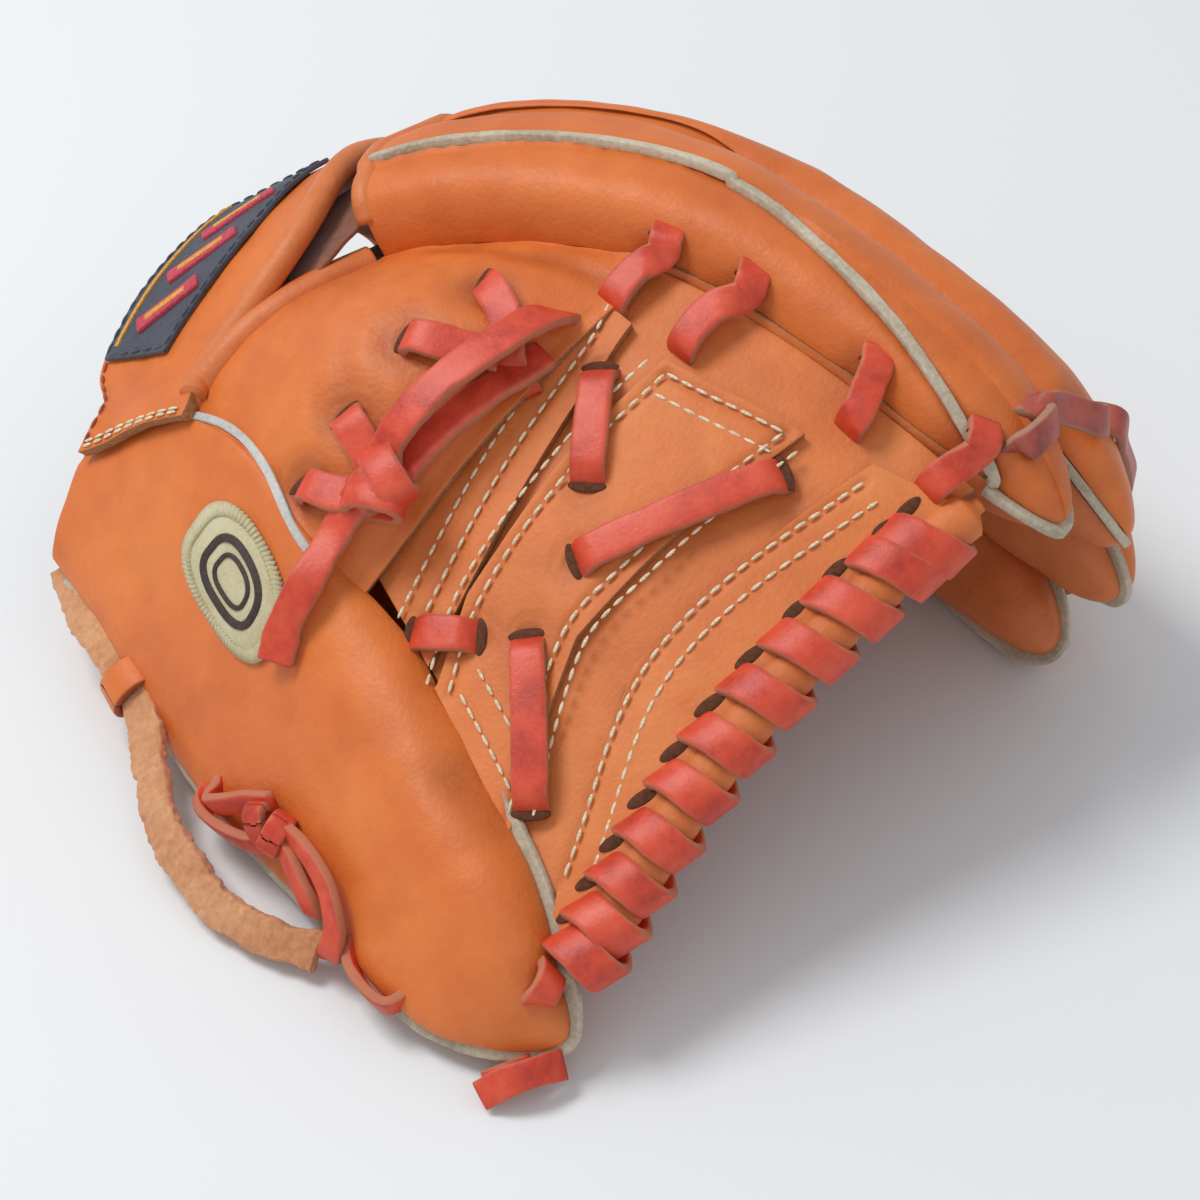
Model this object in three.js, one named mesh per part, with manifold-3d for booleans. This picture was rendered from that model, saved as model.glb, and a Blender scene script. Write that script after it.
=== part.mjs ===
// A laced leather baseball glove, worn on the left hand, standing on its thumb and little-finger edges
// with the web on top. Millimetres, +Z up, +X from the wrist to the fingertips, +Y from the thumb to the
// little finger. The glove is laid out on seven rails that run from the wrist to the tips: the outer
// and inner edge of the thumb, then the web side of the index finger and the seams between the fingers.
import * as THREE from "three";
import { mergeVertices } from "three/addons/utils/BufferGeometryUtils.js";
import Module from "manifold-3d";

const wasm = await Module();
wasm.setup();

// ---- driving dimensions ----
const SCALE = 1; // overall size of the layout: rails and stall heights
const LEATHER = 3; // back shells: outer leather with its bonded lining
const PALM_LEATHER = 3.4; // the palm hide is the thickest
const WEB_LEATHER = 2.6; // each layer of the web
const CLEAR = 0.3; // gap between pieces that touch
const SEAM_HALF = 1.3; // half the room that a seam leaves between front and back shells
const WELT_PROUD = 2.2; // how far a welt stands out of its seam
const WELT_DEPTH = 2.7; // how far it reaches in between the shells
const FINGER_GAP = 0.8; // between neighbouring fingers, across their seam rail
const HINGE_GAP = 2.6; // between the thumb and the palm side, at the crease where the glove folds
const LACE_WIDE = 8;
const LACE_THICK = 2.4;
const PAD_THICK = 4;
const LINER_THICK = 1.2;
const STAY_THICK = 1.6;
const STRAP_THICK = 3.2;
const ROLL_RADIUS = 3.2; // rolled bindings and the roll along the web's free edge
const GROUND = 9.6; // height in the layout of the ground that the undersides are worn flat against

// Six stations on each rail, from the wrist to the tip.
const RAILS = {
  thumbOuter: [[-124, -50, 24], [-92, -61, 14], [-52, -74, 6.5], [-6, -78, 8.6], [26, -80, 8], [48, -75, 8]],
  thumbInner: [[-136, -27, 50], [-90, -22, 71], [-48, -33, 66], [-4, -46, 52], [28, -56, 38], [50, -62, 28]],
  indexWeb: [[-142, -8, 60], [-88, 24, 99], [-42, 44, 110], [-5, 51, 106], [28, 55, 97], [58, 58, 86]],
  indexMiddle: [[-143, 14, 65], [-94, 54, 101], [-46, 80, 104], [-8, 84, 98], [30, 85, 89], [62, 82, 76]],
  middleRing: [[-141, 34, 60], [-98, 78, 84], [-50, 100, 80], [-10, 104, 74], [30, 105, 63], [62, 101, 52]],
  ringLittle: [[-137, 50, 46], [-100, 90, 58], [-54, 110, 49], [-12, 111, 42], [25, 108, 33], [54, 101, 25]],
  littleOuter: [[-130, 57, 20], [-100, 85, 11], [-58, 101, 9.5], [-16, 101, 11.5], [16, 94, 12], [40, 85, 12]],
};

// Half thickness of each stall at the six stations, to the back and to the palm side. rise lifts the
// seam towards the back at the left and right edge, as a share of the back height, and open takes the
// side wall away inside the hand. proud tells how far the welt stands out on the left and right side.
const STALLS = {
  thumb: {
    left: "thumbOuter", right: "thumbInner", back: [17, 18, 17, 16, 14, 10], front: [13, 14, 14, 13, 12, 9],
    rise: [0.75, 0], open: [0, 0.8], proud: [WELT_PROUD, -CLEAR],
  },
  index: {
    left: "indexWeb", right: "indexMiddle", back: [18, 18, 17, 16, 15, 12], front: [14, 15, 15, 15, 14, 11],
    rise: [0.9, 0.1], open: [0, 0.85], proud: [WELT_PROUD, -CLEAR],
  },
  middle: {
    left: "indexMiddle", right: "middleRing", back: [18, 18, 17, 16, 15, 12], front: [14, 15, 15, 15, 14, 11],
    rise: [0.1, 0], open: [0.85, 0.85], proud: [-CLEAR, -CLEAR],
  },
  ring: {
    left: "middleRing", right: "ringLittle", back: [18, 18, 17, 16, 14, 12], front: [14, 15, 15, 15, 13, 11],
    rise: [0, 0], open: [0.85, 0.85], proud: [-CLEAR, -CLEAR],
  },
  little: {
    left: "ringLittle", right: "littleOuter", back: [18, 18, 17, 15, 13, 11], front: [14, 15, 15, 14, 12, 10],
    rise: [0, 0.1], open: [0.85, 0], proud: [-CLEAR, WELT_PROUD],
  },
};
const STALL_LENGTH = 200; // about the length of a rail
const ROUND_FROM = 0.72; // where a fingertip starts to round off, as a share of the stall
const SQUARENESS = 2.7; // superellipse power of a stall's cross-section
const HAND_END = 0.34; // where the palm sheet ends and the finger fronts take over
const BACKS_FROM = 0.17; // where the finger backs start, at the hand opening
const STRAP_TO = 0.1;
const CROTCH_FROM = 0.145;
const CROTCH_TO = 0.4; // where the crotch panel ends and the web starts
const CROTCH_BULGE = 15;
const WEB_BULGE = 4;
const EDGE_BOW = 7; // how far the web's free edge bows in towards the wrist
const WRAPS = 10; // turns of lace round the web's free edge

// ---- numbers and points ----
const V = (x, y, z) => new THREE.Vector3(x, y, z);
const lerp = THREE.MathUtils.lerp;
const smooth = THREE.MathUtils.smoothstep;
const steps = (from, to, count) => Array.from({ length: count + 1 }, (_, i) => lerp(from, to, i / count));
const curveOf = (points) => new THREE.CatmullRomCurve3(points);
const rail = {};
for (const [name, points] of Object.entries(RAILS)) {
  rail[name] = curveOf(points.map((p) => V(...p).multiplyScalar(SCALE)));
}

// A smooth value through the six stations.
function profile(values) {
  const curve = curveOf(values.map((value, i) => V(i, value * SCALE, 0)));
  return (t) => curve.getPoint(THREE.MathUtils.clamp(t, 0, 1)).y;
}

// The frame of a strip between two rails: centre, half width, and the side, forward and back directions.
function stripFrame(left, right, t) {
  const at = THREE.MathUtils.clamp(t, 0, 1);
  const a = left.getPoint(at);
  const b = right.getPoint(at);
  const ahead = Math.min(at + 0.01, 1);
  const behind = Math.max(at - 0.01, 0);
  const forward = left.getPoint(ahead).add(right.getPoint(ahead));
  forward.sub(left.getPoint(behind)).sub(right.getPoint(behind)).normalize();
  const across = b.clone().sub(a);
  const side = across.clone().addScaledVector(forward, -across.dot(forward)).normalize();
  const centre = a.clone().add(b).multiplyScalar(0.5).addScaledVector(forward, (t - at) * STALL_LENGTH * SCALE);
  return { centre, half: across.length() / 2, side, forward, back: forward.clone().cross(side).normalize() };
}

const stalls = {};
for (const [name, s] of Object.entries(STALLS)) {
  stalls[name] = { ...s, left: rail[s.left], right: rail[s.right], back: profile(s.back), front: profile(s.front) };
}

// ---- surfaces: each gives a point from two coordinates and a height above the outside ----

// A stall's front or back. a runs from -1 to 1 across it, t from 0 at the wrist to 1 at the tip, and
// height is above the outside, so below 0 it is in or under the leather. sign is 1 for the back.
function stallPoint(stall, sign, a, t, height) {
  const tip = 1 + height / (STALL_LENGTH * SCALE);
  const at = t * tip;
  const f = stripFrame(stall.left, stall.right, at);
  const into = Math.max(0, (t - ROUND_FROM) / (1 - ROUND_FROM));
  const round = Math.sqrt(Math.max(0, 1 - into * into));
  const half = (f.half - FINGER_GAP / 2 + height) * round;
  const thick = ((sign > 0 ? stall.back(at) : stall.front(at)) + height) * round;
  const open = lerp(stall.open[0], stall.open[1], (a + 1) / 2) * (1 - smooth(at, 0.3, 0.5));
  const arch = Math.pow(Math.max(0, 1 - Math.pow(Math.abs(a), SQUARENESS)), 1 / SQUARENESS);
  const seam = lerp(stall.rise[0], stall.rise[1], (a + 1) / 2) * stall.back(at) * round;
  const level = open + (1 - open) * arch;
  const up = sign > 0 ? seam + SEAM_HALF + (thick - seam) * level : seam - SEAM_HALF - (thick + seam) * level;
  return f.centre.clone().addScaledVector(f.side, a * half).addScaledVector(f.back, up);
}
const backOf = (name) => (a, t, height) => stallPoint(stalls[name], 1, a, t, height);
const frontOf = (name) => (a, t, height) => stallPoint(stalls[name], -1, a, t, height);

// The palm side under the hand, from the crease at the thumb (s = 0) to the little finger's edge (s = 1).
function palmPoint(s, t, height) {
  const stations = [];
  const put = (point, back, depth) => stations.push(point.clone().addScaledVector(back, -depth - height));
  const crotch = stripFrame(rail.thumbInner, rail.indexWeb, t);
  const edge = rail.thumbInner.getPoint(t).addScaledVector(crotch.side, HINGE_GAP);
  put(edge, crotch.back, stalls.thumb.front(t) * 0.9);
  put(crotch.centre, crotch.back, stalls.index.front(t));
  let before = crotch;
  for (const name of ["index", "middle", "ring", "little"]) {
    const stall = stalls[name];
    const f = stripFrame(stall.left, stall.right, t);
    const between = f.back.clone().add(before.back).normalize();
    put(stall.left.getPoint(t), between, stall.front(t));
    put(f.centre, f.back, stall.front(t));
    before = f;
  }
  const { centre, side, half, back } = before;
  const outer = half - FINGER_GAP / 2 + height;
  put(centre.clone().addScaledVector(side, outer * 0.85), back, stalls.little.front(t) * 0.72);
  stations.push(centre.clone().addScaledVector(side, outer).addScaledVector(back, -SEAM_HALF));
  return curveOf(stations).getPoint(s);
}

// The crotch panel, from the thumb's inner edge (u = 0) to the index finger (u = 1).
function crotchPoint(u, t, height) {
  const f = stripFrame(rail.thumbInner, rail.indexWeb, t);
  const low = backOf("thumb")(1, t, 0).addScaledVector(f.side, HINGE_GAP);
  const high = backOf("index")(-1, t, 0).addScaledVector(f.side, -CLEAR);
  const swell = Math.sin(Math.PI * u) * (0.45 + 0.55 * Math.sin((Math.PI * (t - CROTCH_FROM)) / (CROTCH_TO - CROTCH_FROM)));
  return low.lerp(high, u).addScaledVector(f.back, CROTCH_BULGE * SCALE * swell + height);
}

// The web, from the thumb (u = 0) to the index finger (u = 1) and from the crotch (v = 0) to the free edge.
function webPoint(u, v, height) {
  const t = lerp(CROTCH_TO + 0.02, 0.9, v);
  const f = stripFrame(rail.thumbInner, rail.indexWeb, t);
  const low = rail.thumbInner.getPoint(t).addScaledVector(f.side, CLEAR);
  const high = rail.indexWeb.getPoint(t).addScaledVector(f.side, -CLEAR);
  const swell = Math.sin(Math.PI * u);
  const point = low.lerp(high, u).addScaledVector(f.back, WEB_BULGE * SCALE * swell + height);
  return point.addScaledVector(f.forward, -EDGE_BOW * SCALE * swell * v);
}

// The back of the hand under the strap, from the thumb's inner edge (s = 0) to the little finger's edge.
function strapPoint(s, t, height) {
  const stations = [];
  const put = (point, back, depth) => stations.push(point.clone().addScaledVector(back, depth + height));
  const crotch = stripFrame(rail.thumbInner, rail.indexWeb, t);
  put(rail.thumbInner.getPoint(t).addScaledVector(crotch.side, HINGE_GAP + 1), crotch.back, 8 * SCALE);
  let before = crotch;
  for (const name of ["index", "middle", "ring", "little"]) {
    const f = stripFrame(stalls[name].left, stalls[name].right, t);
    const between = f.back.clone().add(before.back).normalize();
    put(stalls[name].left.getPoint(t), between, stalls[name].back(t));
    before = f;
  }
  const { centre, side, half, back } = before;
  put(centre.clone().addScaledVector(side, half * 0.7), back, stalls.little.back(t) * 0.8);
  put(centre.clone().addScaledVector(side, half), back, STRAP_THICK + CLEAR - SEAM_HALF);
  return curveOf(stations).getPoint(s);
}

// ---- solids ----
function solidFrom(vertProperties, index) {
  return new wasm.Manifold(new wasm.Mesh({ numProp: 3, vertProperties, triVerts: new Uint32Array(index) }));
}

// A closed geometry as a solid: its vertices are merged, and it is turned round if it faces inwards.
function toSolid(geometry) {
  geometry.deleteAttribute("normal");
  geometry.deleteAttribute("uv");
  const merged = mergeVertices(geometry, 1e-4);
  const out = [];
  const turned = [];
  for (let i = 0; i < merged.index.count; i += 3) {
    const [a, b, c] = [0, 1, 2].map((k) => merged.index.getX(i + k));
    if (a === b || b === c || a === c) continue;
    out.push(a, b, c);
    turned.push(b, a, c);
  }
  const places = merged.attributes.position.array;
  const solid = solidFrom(places, out);
  return solid.volume() > 0 ? solid : solidFrom(places, turned);
}

function toGeometry(solid) {
  const mesh = solid.getMesh();
  const geometry = new THREE.BufferGeometry();
  geometry.setAttribute("position", new THREE.BufferAttribute(new Float32Array(mesh.vertProperties), 3));
  geometry.setIndex(new THREE.BufferAttribute(new Uint32Array(mesh.triVerts), 1));
  return geometry;
}

// A closed solid between two matching grids of points.
function between(top, bottom) {
  const rows = top.length;
  const columns = top[0].length;
  const id = (layer, i, j) => (layer * rows + i) * columns + j;
  const faces = [];
  const quad = (a, b, c, d) => faces.push(a, b, c, a, c, d);
  for (let i = 0; i < rows - 1; i++) {
    for (let j = 0; j < columns - 1; j++) {
      quad(id(0, i, j), id(0, i + 1, j), id(0, i + 1, j + 1), id(0, i, j + 1));
      quad(id(1, i, j), id(1, i, j + 1), id(1, i + 1, j + 1), id(1, i + 1, j));
    }
    quad(id(0, i, 0), id(1, i, 0), id(1, i + 1, 0), id(0, i + 1, 0));
    quad(id(0, i, columns - 1), id(0, i + 1, columns - 1), id(1, i + 1, columns - 1), id(1, i, columns - 1));
  }
  for (let j = 0; j < columns - 1; j++) {
    quad(id(0, 0, j), id(0, 0, j + 1), id(1, 0, j + 1), id(1, 0, j));
    quad(id(0, rows - 1, j), id(1, rows - 1, j), id(1, rows - 1, j + 1), id(0, rows - 1, j + 1));
  }
  const geometry = new THREE.BufferGeometry().setFromPoints([...top.flat(), ...bottom.flat()]);
  geometry.setIndex(faces);
  return toSolid(geometry);
}

// A sheet on a surface between two heights, over the places in us and vs.
function sheet(surface, us, vs, high, low) {
  const grid = (height) => vs.map((v) => us.map((u) => surface(u, v, height)));
  return between(grid(high), grid(low));
}

// A round or oval patch on a surface: the square -1 to 1 is drawn in to a disc.
function patch(surface, [u0, v0], [ru, rv], lean, high, low) {
  const places = steps(-1, 1, 6);
  const grid = (height) => places.map((y) => places.map((x) => {
    const du = x * Math.sqrt(1 - (y * y) / 2);
    const dv = y * Math.sqrt(1 - (x * x) / 2);
    return surface(u0 + ru * (du + lean * dv), v0 + rv * dv, height);
  }));
  return between(grid(high), grid(low));
}

// A flat lace or strap that lies on a surface along a path of [u, v] places.
function ribbon(surface, path, width, low, thick, stations = 24) {
  const route = curveOf(path.map(([u, v]) => V(u, v, 0)));
  const top = [];
  const bottom = [];
  for (const k of steps(0, 1, stations)) {
    const at = (share, height) => {
      const p = route.getPoint(THREE.MathUtils.clamp(share, 0, 1));
      return surface(p.x, p.y, height);
    };
    const lowPoint = at(k, low);
    const highPoint = at(k, low + thick);
    const along = at(k + 0.01, low).sub(at(k - 0.01, low)).normalize();
    const side = along.clone().cross(highPoint.clone().sub(lowPoint)).normalize().multiplyScalar(width / 2);
    const row = (p) => [p.clone().sub(side), p, p.clone().add(side)];
    top.push(row(highPoint));
    bottom.push(row(lowPoint));
  }
  return between(top, bottom);
}

// A flat strap through points in space, its width along `wide`.
function strapThrough(points, wide, width, thick, stations = 20) {
  const route = curveOf(points);
  const top = [];
  const bottom = [];
  for (const k of steps(0, 1, stations)) {
    const p = route.getPoint(k);
    const along = route.getTangent(k);
    const side = wide.clone().addScaledVector(along, -wide.dot(along)).normalize();
    const up = side.clone().cross(along).multiplyScalar(thick / 2);
    const row = (q) => [q.clone().addScaledVector(side, -width / 2), q.clone().addScaledVector(side, width / 2)];
    top.push(row(p.clone().add(up)));
    bottom.push(row(p.clone().sub(up)));
  }
  return between(top, bottom);
}

// What is left of a solid once its neighbours, each made a little larger, are cut out of it.
function clearOf(solid, cutters) {
  const left = cutters.reduce((rest, cutter) => rest.subtract(cutter), solid);
  return left.decompose().reduce((most, piece) => (piece.volume() > most.volume() ? piece : most));
}
function tube(points, radius, stations = 30) {
  const round = new THREE.Shape().absarc(0, 0, radius, 0, Math.PI * 2);
  const options = { extrudePath: curveOf(points), steps: stations, bevelEnabled: false, curveSegments: 8 };
  return toSolid(new THREE.ExtrudeGeometry(round, options));
}

// ---- the model ----
const glove = new THREE.Group();
const finish = (color, roughness) => new THREE.MeshStandardMaterial({ color, roughness, metalness: 0 });
const LEATHER_LOOK = finish("#dd8244", 0.55);
const LACE_LOOK = finish("#cc4a35", 0.55);
const WELT_LOOK = finish("#b9a78a", 0.9);
const SUEDE_LOOK = finish("#d98e5a", 0.95);
const NAVY_LOOK = finish("#454a54", 0.9);
const CREAM_LOOK = finish("#cec299", 0.9);
const LINER_LOOK = finish("#a5684a", 0.9);
const FELT_LOOK = finish("#d8cdb8", 1);
const STAY_LOOK = finish("#e6e2d6", 0.6);
const solids = {};
const belowGround = toSolid(new THREE.BoxGeometry(900, 900, 100).translate(0, 0, GROUND * SCALE - 50));
function add(name, piece, material) {
  const solid = piece.subtract(belowGround);
  const mesh = new THREE.Mesh(toGeometry(solid), material);
  mesh.name = name;
  glove.add(mesh);
  solids[name] = solid;
}

// Places along a stall, closer together where the tip rounds off, and across it.
const tipSteps = [0.3, 0.55, 0.75, 0.9, 0.98, 1].map((k) => lerp(ROUND_FROM, 1, k));
const alongFrom = (from) => [...steps(from, ROUND_FROM, 7), ...tipSteps];
const ACROSS = steps(Math.PI, 0, 8).map(Math.cos);

// The whole room that a stall takes, hollow included, made larger by grow on every side.
function pod(name, grow) {
  const rows = alongFrom(-0.03);
  const grid = (surface) => rows.map((t) => ACROSS.map((a) => surface(a, t, grow)));
  return between(grid(backOf(name)), grid(frontOf(name)));
}

// Finger and thumb shells.
for (const name of Object.keys(STALLS)) {
  const from = name === "thumb" ? 0 : BACKS_FROM;
  add(`${name}_back`, sheet(backOf(name), ACROSS, alongFrom(from), 0, -LEATHER), LEATHER_LOOK);
}
add("thumb_front", sheet(frontOf("thumb"), ACROSS, alongFrom(0), 0, -PALM_LEATHER), LEATHER_LOOK);

// Palm leather: the sheet under the hand joined to the fronts of the four fingers.
const PALM_SINK = 0.6; // the sheet runs on this far inside the finger fronts where they join
const PALM_S = steps(0, 1, 22);
const PALM_T = steps(0, HAND_END + 0.04, 6);
let palm = sheet(palmPoint, PALM_S, PALM_T, -PALM_SINK, -PALM_SINK - PALM_LEATHER);
for (const name of ["index", "middle", "ring", "little"]) {
  palm = palm.add(sheet(frontOf(name), ACROSS, alongFrom(HAND_END), 0, -PALM_LEATHER));
}
add("palm_leather", clearOf(palm, [pod("thumb", HINGE_GAP)]), LEATHER_LOOK);

// Welts: a strip in the seam round each stall, flush between neighbours and proud elsewhere.
function welt(stall, from, more) {
  const rows = [];
  const half = SEAM_HALF - CLEAR + more;
  const row = (a, t) => {
    const into = Math.max(0, (t - ROUND_FROM) / (1 - ROUND_FROM));
    const proud = lerp(stall.proud[a < 0 ? 0 : 1], WELT_PROUD, into * into);
    const edge = (height, lift) => {
      const p = stallPoint(stall, 1, a, t, height);
      const f = stripFrame(stall.left, stall.right, t);
      return p.addScaledVector(f.back, lift - SEAM_HALF);
    };
    const out = proud + more;
    rows.push([edge(-WELT_DEPTH, half), edge(out, half), edge(out, -half), edge(-WELT_DEPTH, -half)]);
  };
  const along = [...steps(from, ROUND_FROM, 8), ...tipSteps.slice(0, -1)];
  along.forEach((t) => row(-1, t));
  along.toReversed().forEach((t) => row(1, t));
  return between(rows.map((r) => [r[0], r[1]]), rows.map((r) => [r[3], r[2]]));
}

const grown = {};
for (const name of Object.keys(STALLS)) {
  const front = name === "thumb" ? 0 : HAND_END;
  const back = name === "thumb" ? 0 : BACKS_FROM;
  grown[name] = [
    sheet(backOf(name), ACROSS, alongFrom(back), CLEAR, -LEATHER - CLEAR),
    sheet(frontOf(name), ACROSS, alongFrom(front), CLEAR, -PALM_LEATHER - CLEAR),
  ];
}
const WELT_FROM = 0.52;
for (const name of Object.keys(STALLS)) {
  add(`${name}_welt`, clearOf(welt(stalls[name], WELT_FROM, 0), grown[name]), WELT_LOOK);
}
const overWelt = welt(stalls.thumb, WELT_FROM, CLEAR);
const overPalm = sheet(palmPoint, PALM_S, PALM_T, CLEAR - PALM_SINK, -PALM_SINK - PALM_LEATHER - CLEAR);

// Crotch panel.
const CROTCH_U = steps(0, 1, 10);
const CROTCH_T = steps(CROTCH_FROM, CROTCH_TO, 8);
const crotch = sheet(crotchPoint, CROTCH_U, CROTCH_T, 0, -LEATHER);
add("crotch_panel", clearOf(crotch, [overPalm, ...grown.index, ...grown.thumb]), LEATHER_LOOK);

// Web: a base under three bands, and a roll along the free edge.
const WEB_U = [0.02, 0.98];
const bandLow = CLEAR;
const bandHigh = CLEAR + WEB_LEATHER;
const overWeb = bandHigh + CLEAR;
const webBase = sheet(webPoint, steps(0, 1, 8), steps(0, 1, 8), 0, -WEB_LEATHER);
add("web_base", clearOf(webBase, [pod("thumb", CLEAR), ...grown.index, overPalm, overWelt]), LEATHER_LOOK);
const BANDS = { web_crotch_strip: [0.02, 0.22], web_centre_panel: [0.26, 0.62], web_top_strip: [0.66, 0.98] };
for (const [name, [from, to]] of Object.entries(BANDS)) {
  add(name, sheet(webPoint, steps(...WEB_U, 8), steps(from, to, 4), bandHigh, bandLow), LEATHER_LOOK);
}
const rollGap = ROLL_RADIUS + LACE_THICK + 2 * CLEAR + 1;
const webForward = (u) => webPoint(u, 1, 0).sub(webPoint(u, 0.9, 0)).normalize();
const rollPath = steps(0.03, 0.97, 8).map((u) => webPoint(u, 1, 0).addScaledVector(webForward(u), rollGap));
add("web_edge_roll", tube(rollPath, ROLL_RADIUS, 16), LEATHER_LOOK);

// The lace wrapped round the roll: a flat section on a helix.
const rollCurve = curveOf(rollPath);
const wrapRows = steps(0.04, 0.96, WRAPS * 10).map((k) => {
  const centre = rollCurve.getPoint(k);
  const along = rollCurve.getTangent(k);
  const up = webPoint(k, 1, 10).sub(webPoint(k, 1, 0)).normalize();
  const out = along.clone().cross(up).normalize();
  const angle = k * WRAPS * Math.PI * 2;
  const spoke = out.multiplyScalar(Math.cos(angle)).addScaledVector(up, Math.sin(angle));
  const at = (radius, shift) => centre.clone().addScaledVector(spoke, radius).addScaledVector(along, shift);
  const inner = ROLL_RADIUS + CLEAR;
  const half = LACE_WIDE * 0.3;
  return [at(inner, -half), at(inner, half), at(inner + LACE_THICK, -half), at(inner + LACE_THICK, half)];
});
add("web_edge_lace", between(wrapRows.map((r) => [r[2], r[3]]), wrapRows.map((r) => [r[0], r[1]])), LACE_LOOK);

// Laces that lie along the web's two sides and on its face, each a path of [u, v].
const overBands = Object.values(BANDS).map(([from, to]) => {
  return sheet(webPoint, steps(...WEB_U, 8), steps(from, to, 4), overWeb, bandLow);
});
const WEB_LACES = {
  web_index_lace: [[0.93, 0.05], [0.93, 0.5], [0.93, 0.93]],
  web_thumb_lace: [[0.07, 0.05], [0.07, 0.5], [0.07, 0.93]],
  face_lace_upper: [[0.72, 0.1], [0.62, 0.3]],
  face_lace_long: [[0.66, 0.72], [0.34, 0.46]],
  face_lace_lower: [[0.3, 0.06], [0.22, 0.3]],
  face_lace_thumb: [[0.24, 0.42], [0.16, 0.8]],
};
for (const [name, path] of Object.entries(WEB_LACES)) {
  add(name, clearOf(ribbon(webPoint, path, LACE_WIDE, overWeb, LACE_THICK, 12), overBands), LACE_LOOK);
}

// Crotch lace with its knot, over the crotch panel.
const knot = new THREE.SphereGeometry(1, 12, 8);
knot.scale(9, 7, 6);
const knotAt = crotchPoint(0.3, 0.34, CLEAR + 7);
knot.translate(...knotAt);
const crotchLace = ribbon(crotchPoint, [[0.86, 0.33], [0.55, 0.36], [0.3, 0.34], [0.12, 0.24]], LACE_WIDE, CLEAR, LACE_THICK);
const overCrotch = sheet(crotchPoint, CROTCH_U, CROTCH_T, CLEAR, -LEATHER);
add("crotch_lace", clearOf(crotchLace.add(toSolid(knot)), [overCrotch]), LACE_LOOK);

// Wrist strap with its label, and the rolled bindings of the wrist and of the hand opening.
const strapAcross = steps(0, 1, 20);
add("wrist_strap", sheet(strapPoint, strapAcross, steps(0, STRAP_TO, 3), 0, -STRAP_THICK), LEATHER_LOOK);
add("strap_label", sheet(strapPoint, steps(0.16, 0.34, 6), steps(0.01, STRAP_TO - 0.01, 3), CLEAR + 1.4, CLEAR), NAVY_LOOK);
const palmRim = steps(0.02, 0.98, 16).map((s) => palmPoint(s, 0, -PALM_SINK - PALM_LEATHER / 2));
const rimForward = stripFrame(rail.indexWeb, rail.indexMiddle, 0).forward;
const rimShift = rimForward.clone().multiplyScalar(-ROLL_RADIUS - CLEAR);
const wristRoll = tube(palmRim.map((p) => p.clone().add(rimShift)), ROLL_RADIUS, 24);
add("wrist_binding", clearOf(wristRoll, [overPalm]), LEATHER_LOOK);
const openingRadius = ROLL_RADIUS * 0.8;
const crotchRim = steps(0.06, 0.96, 10).map((u) => {
  const ahead = crotchPoint(u, CROTCH_FROM + 0.01, 0);
  const rim = crotchPoint(u, CROTCH_FROM, -LEATHER / 2);
  const back = crotchPoint(u, CROTCH_FROM, 0).sub(ahead).normalize();
  return rim.addScaledVector(back, openingRadius + 0.8);
});
add("opening_binding", tube(crotchRim, openingRadius, 20), LEATHER_LOOK);

// Oval patch on the thumb, and the laces over the finger tips and the thumb tip.
const thumbPatch = patch(backOf("thumb"), [0.22, 0.3], [0.4, 0.095], 0.15, CLEAR + 1.6, 0);
add("thumb_patch", clearOf(thumbPatch, grown.thumb), CREAM_LOOK);
const tipPlaces = [];
for (const name of ["index", "middle", "ring", "little"]) {
  for (const a of name === "little" ? [-0.55, -0.2] : [-0.55, 0, 0.55]) tipPlaces.push([name, a]);
}
const tipRow = (height) => tipPlaces.map(([name, a]) => [-1, 0, 1].map((side) => {
  return stallPoint(stalls[name], 1, a, 0.84 + (side * LACE_WIDE) / 2 / STALL_LENGTH, height);
}));
add("fingertip_lace", between(tipRow(CLEAR + LACE_THICK), tipRow(CLEAR)), LACE_LOOK);
const onThumb = (path) => clearOf(ribbon(backOf("thumb"), path, LACE_WIDE, CLEAR, LACE_THICK, 10), grown.thumb);
add("thumb_tip_lace", onThumb([[-0.3, 0.86], [0.3, 0.86]]), LACE_LOOK);

// Heel laces, thumb loop and the suede strap that hangs beside the thumb.
add("thumb_heel_lace", onThumb([[-0.6, 0.06], [-0.6, 0.16], [-0.6, 0.28]]), LACE_LOOK);
const littlePath = [[0.5, 0.2], [0.55, 0.3], [0.5, 0.4]];
const littleHeel = ribbon(backOf("little"), littlePath, LACE_WIDE, CLEAR, LACE_THICK, 10);
add("little_heel_lace", clearOf(littleHeel, grown.little), LACE_LOOK);

const suedePath = [V(-101, -69.5, 21), V(-88, -81, 18), V(-66, -91, 16), V(-42, -96, 16), V(-18, -95, 16)];
const suede = strapThrough(suedePath, V(0, -0.7, 0.7), 11, LACE_THICK);
add("suede_strap", clearOf(suede, [...grown.thumb, overWelt]), SUEDE_LOOK);

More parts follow.
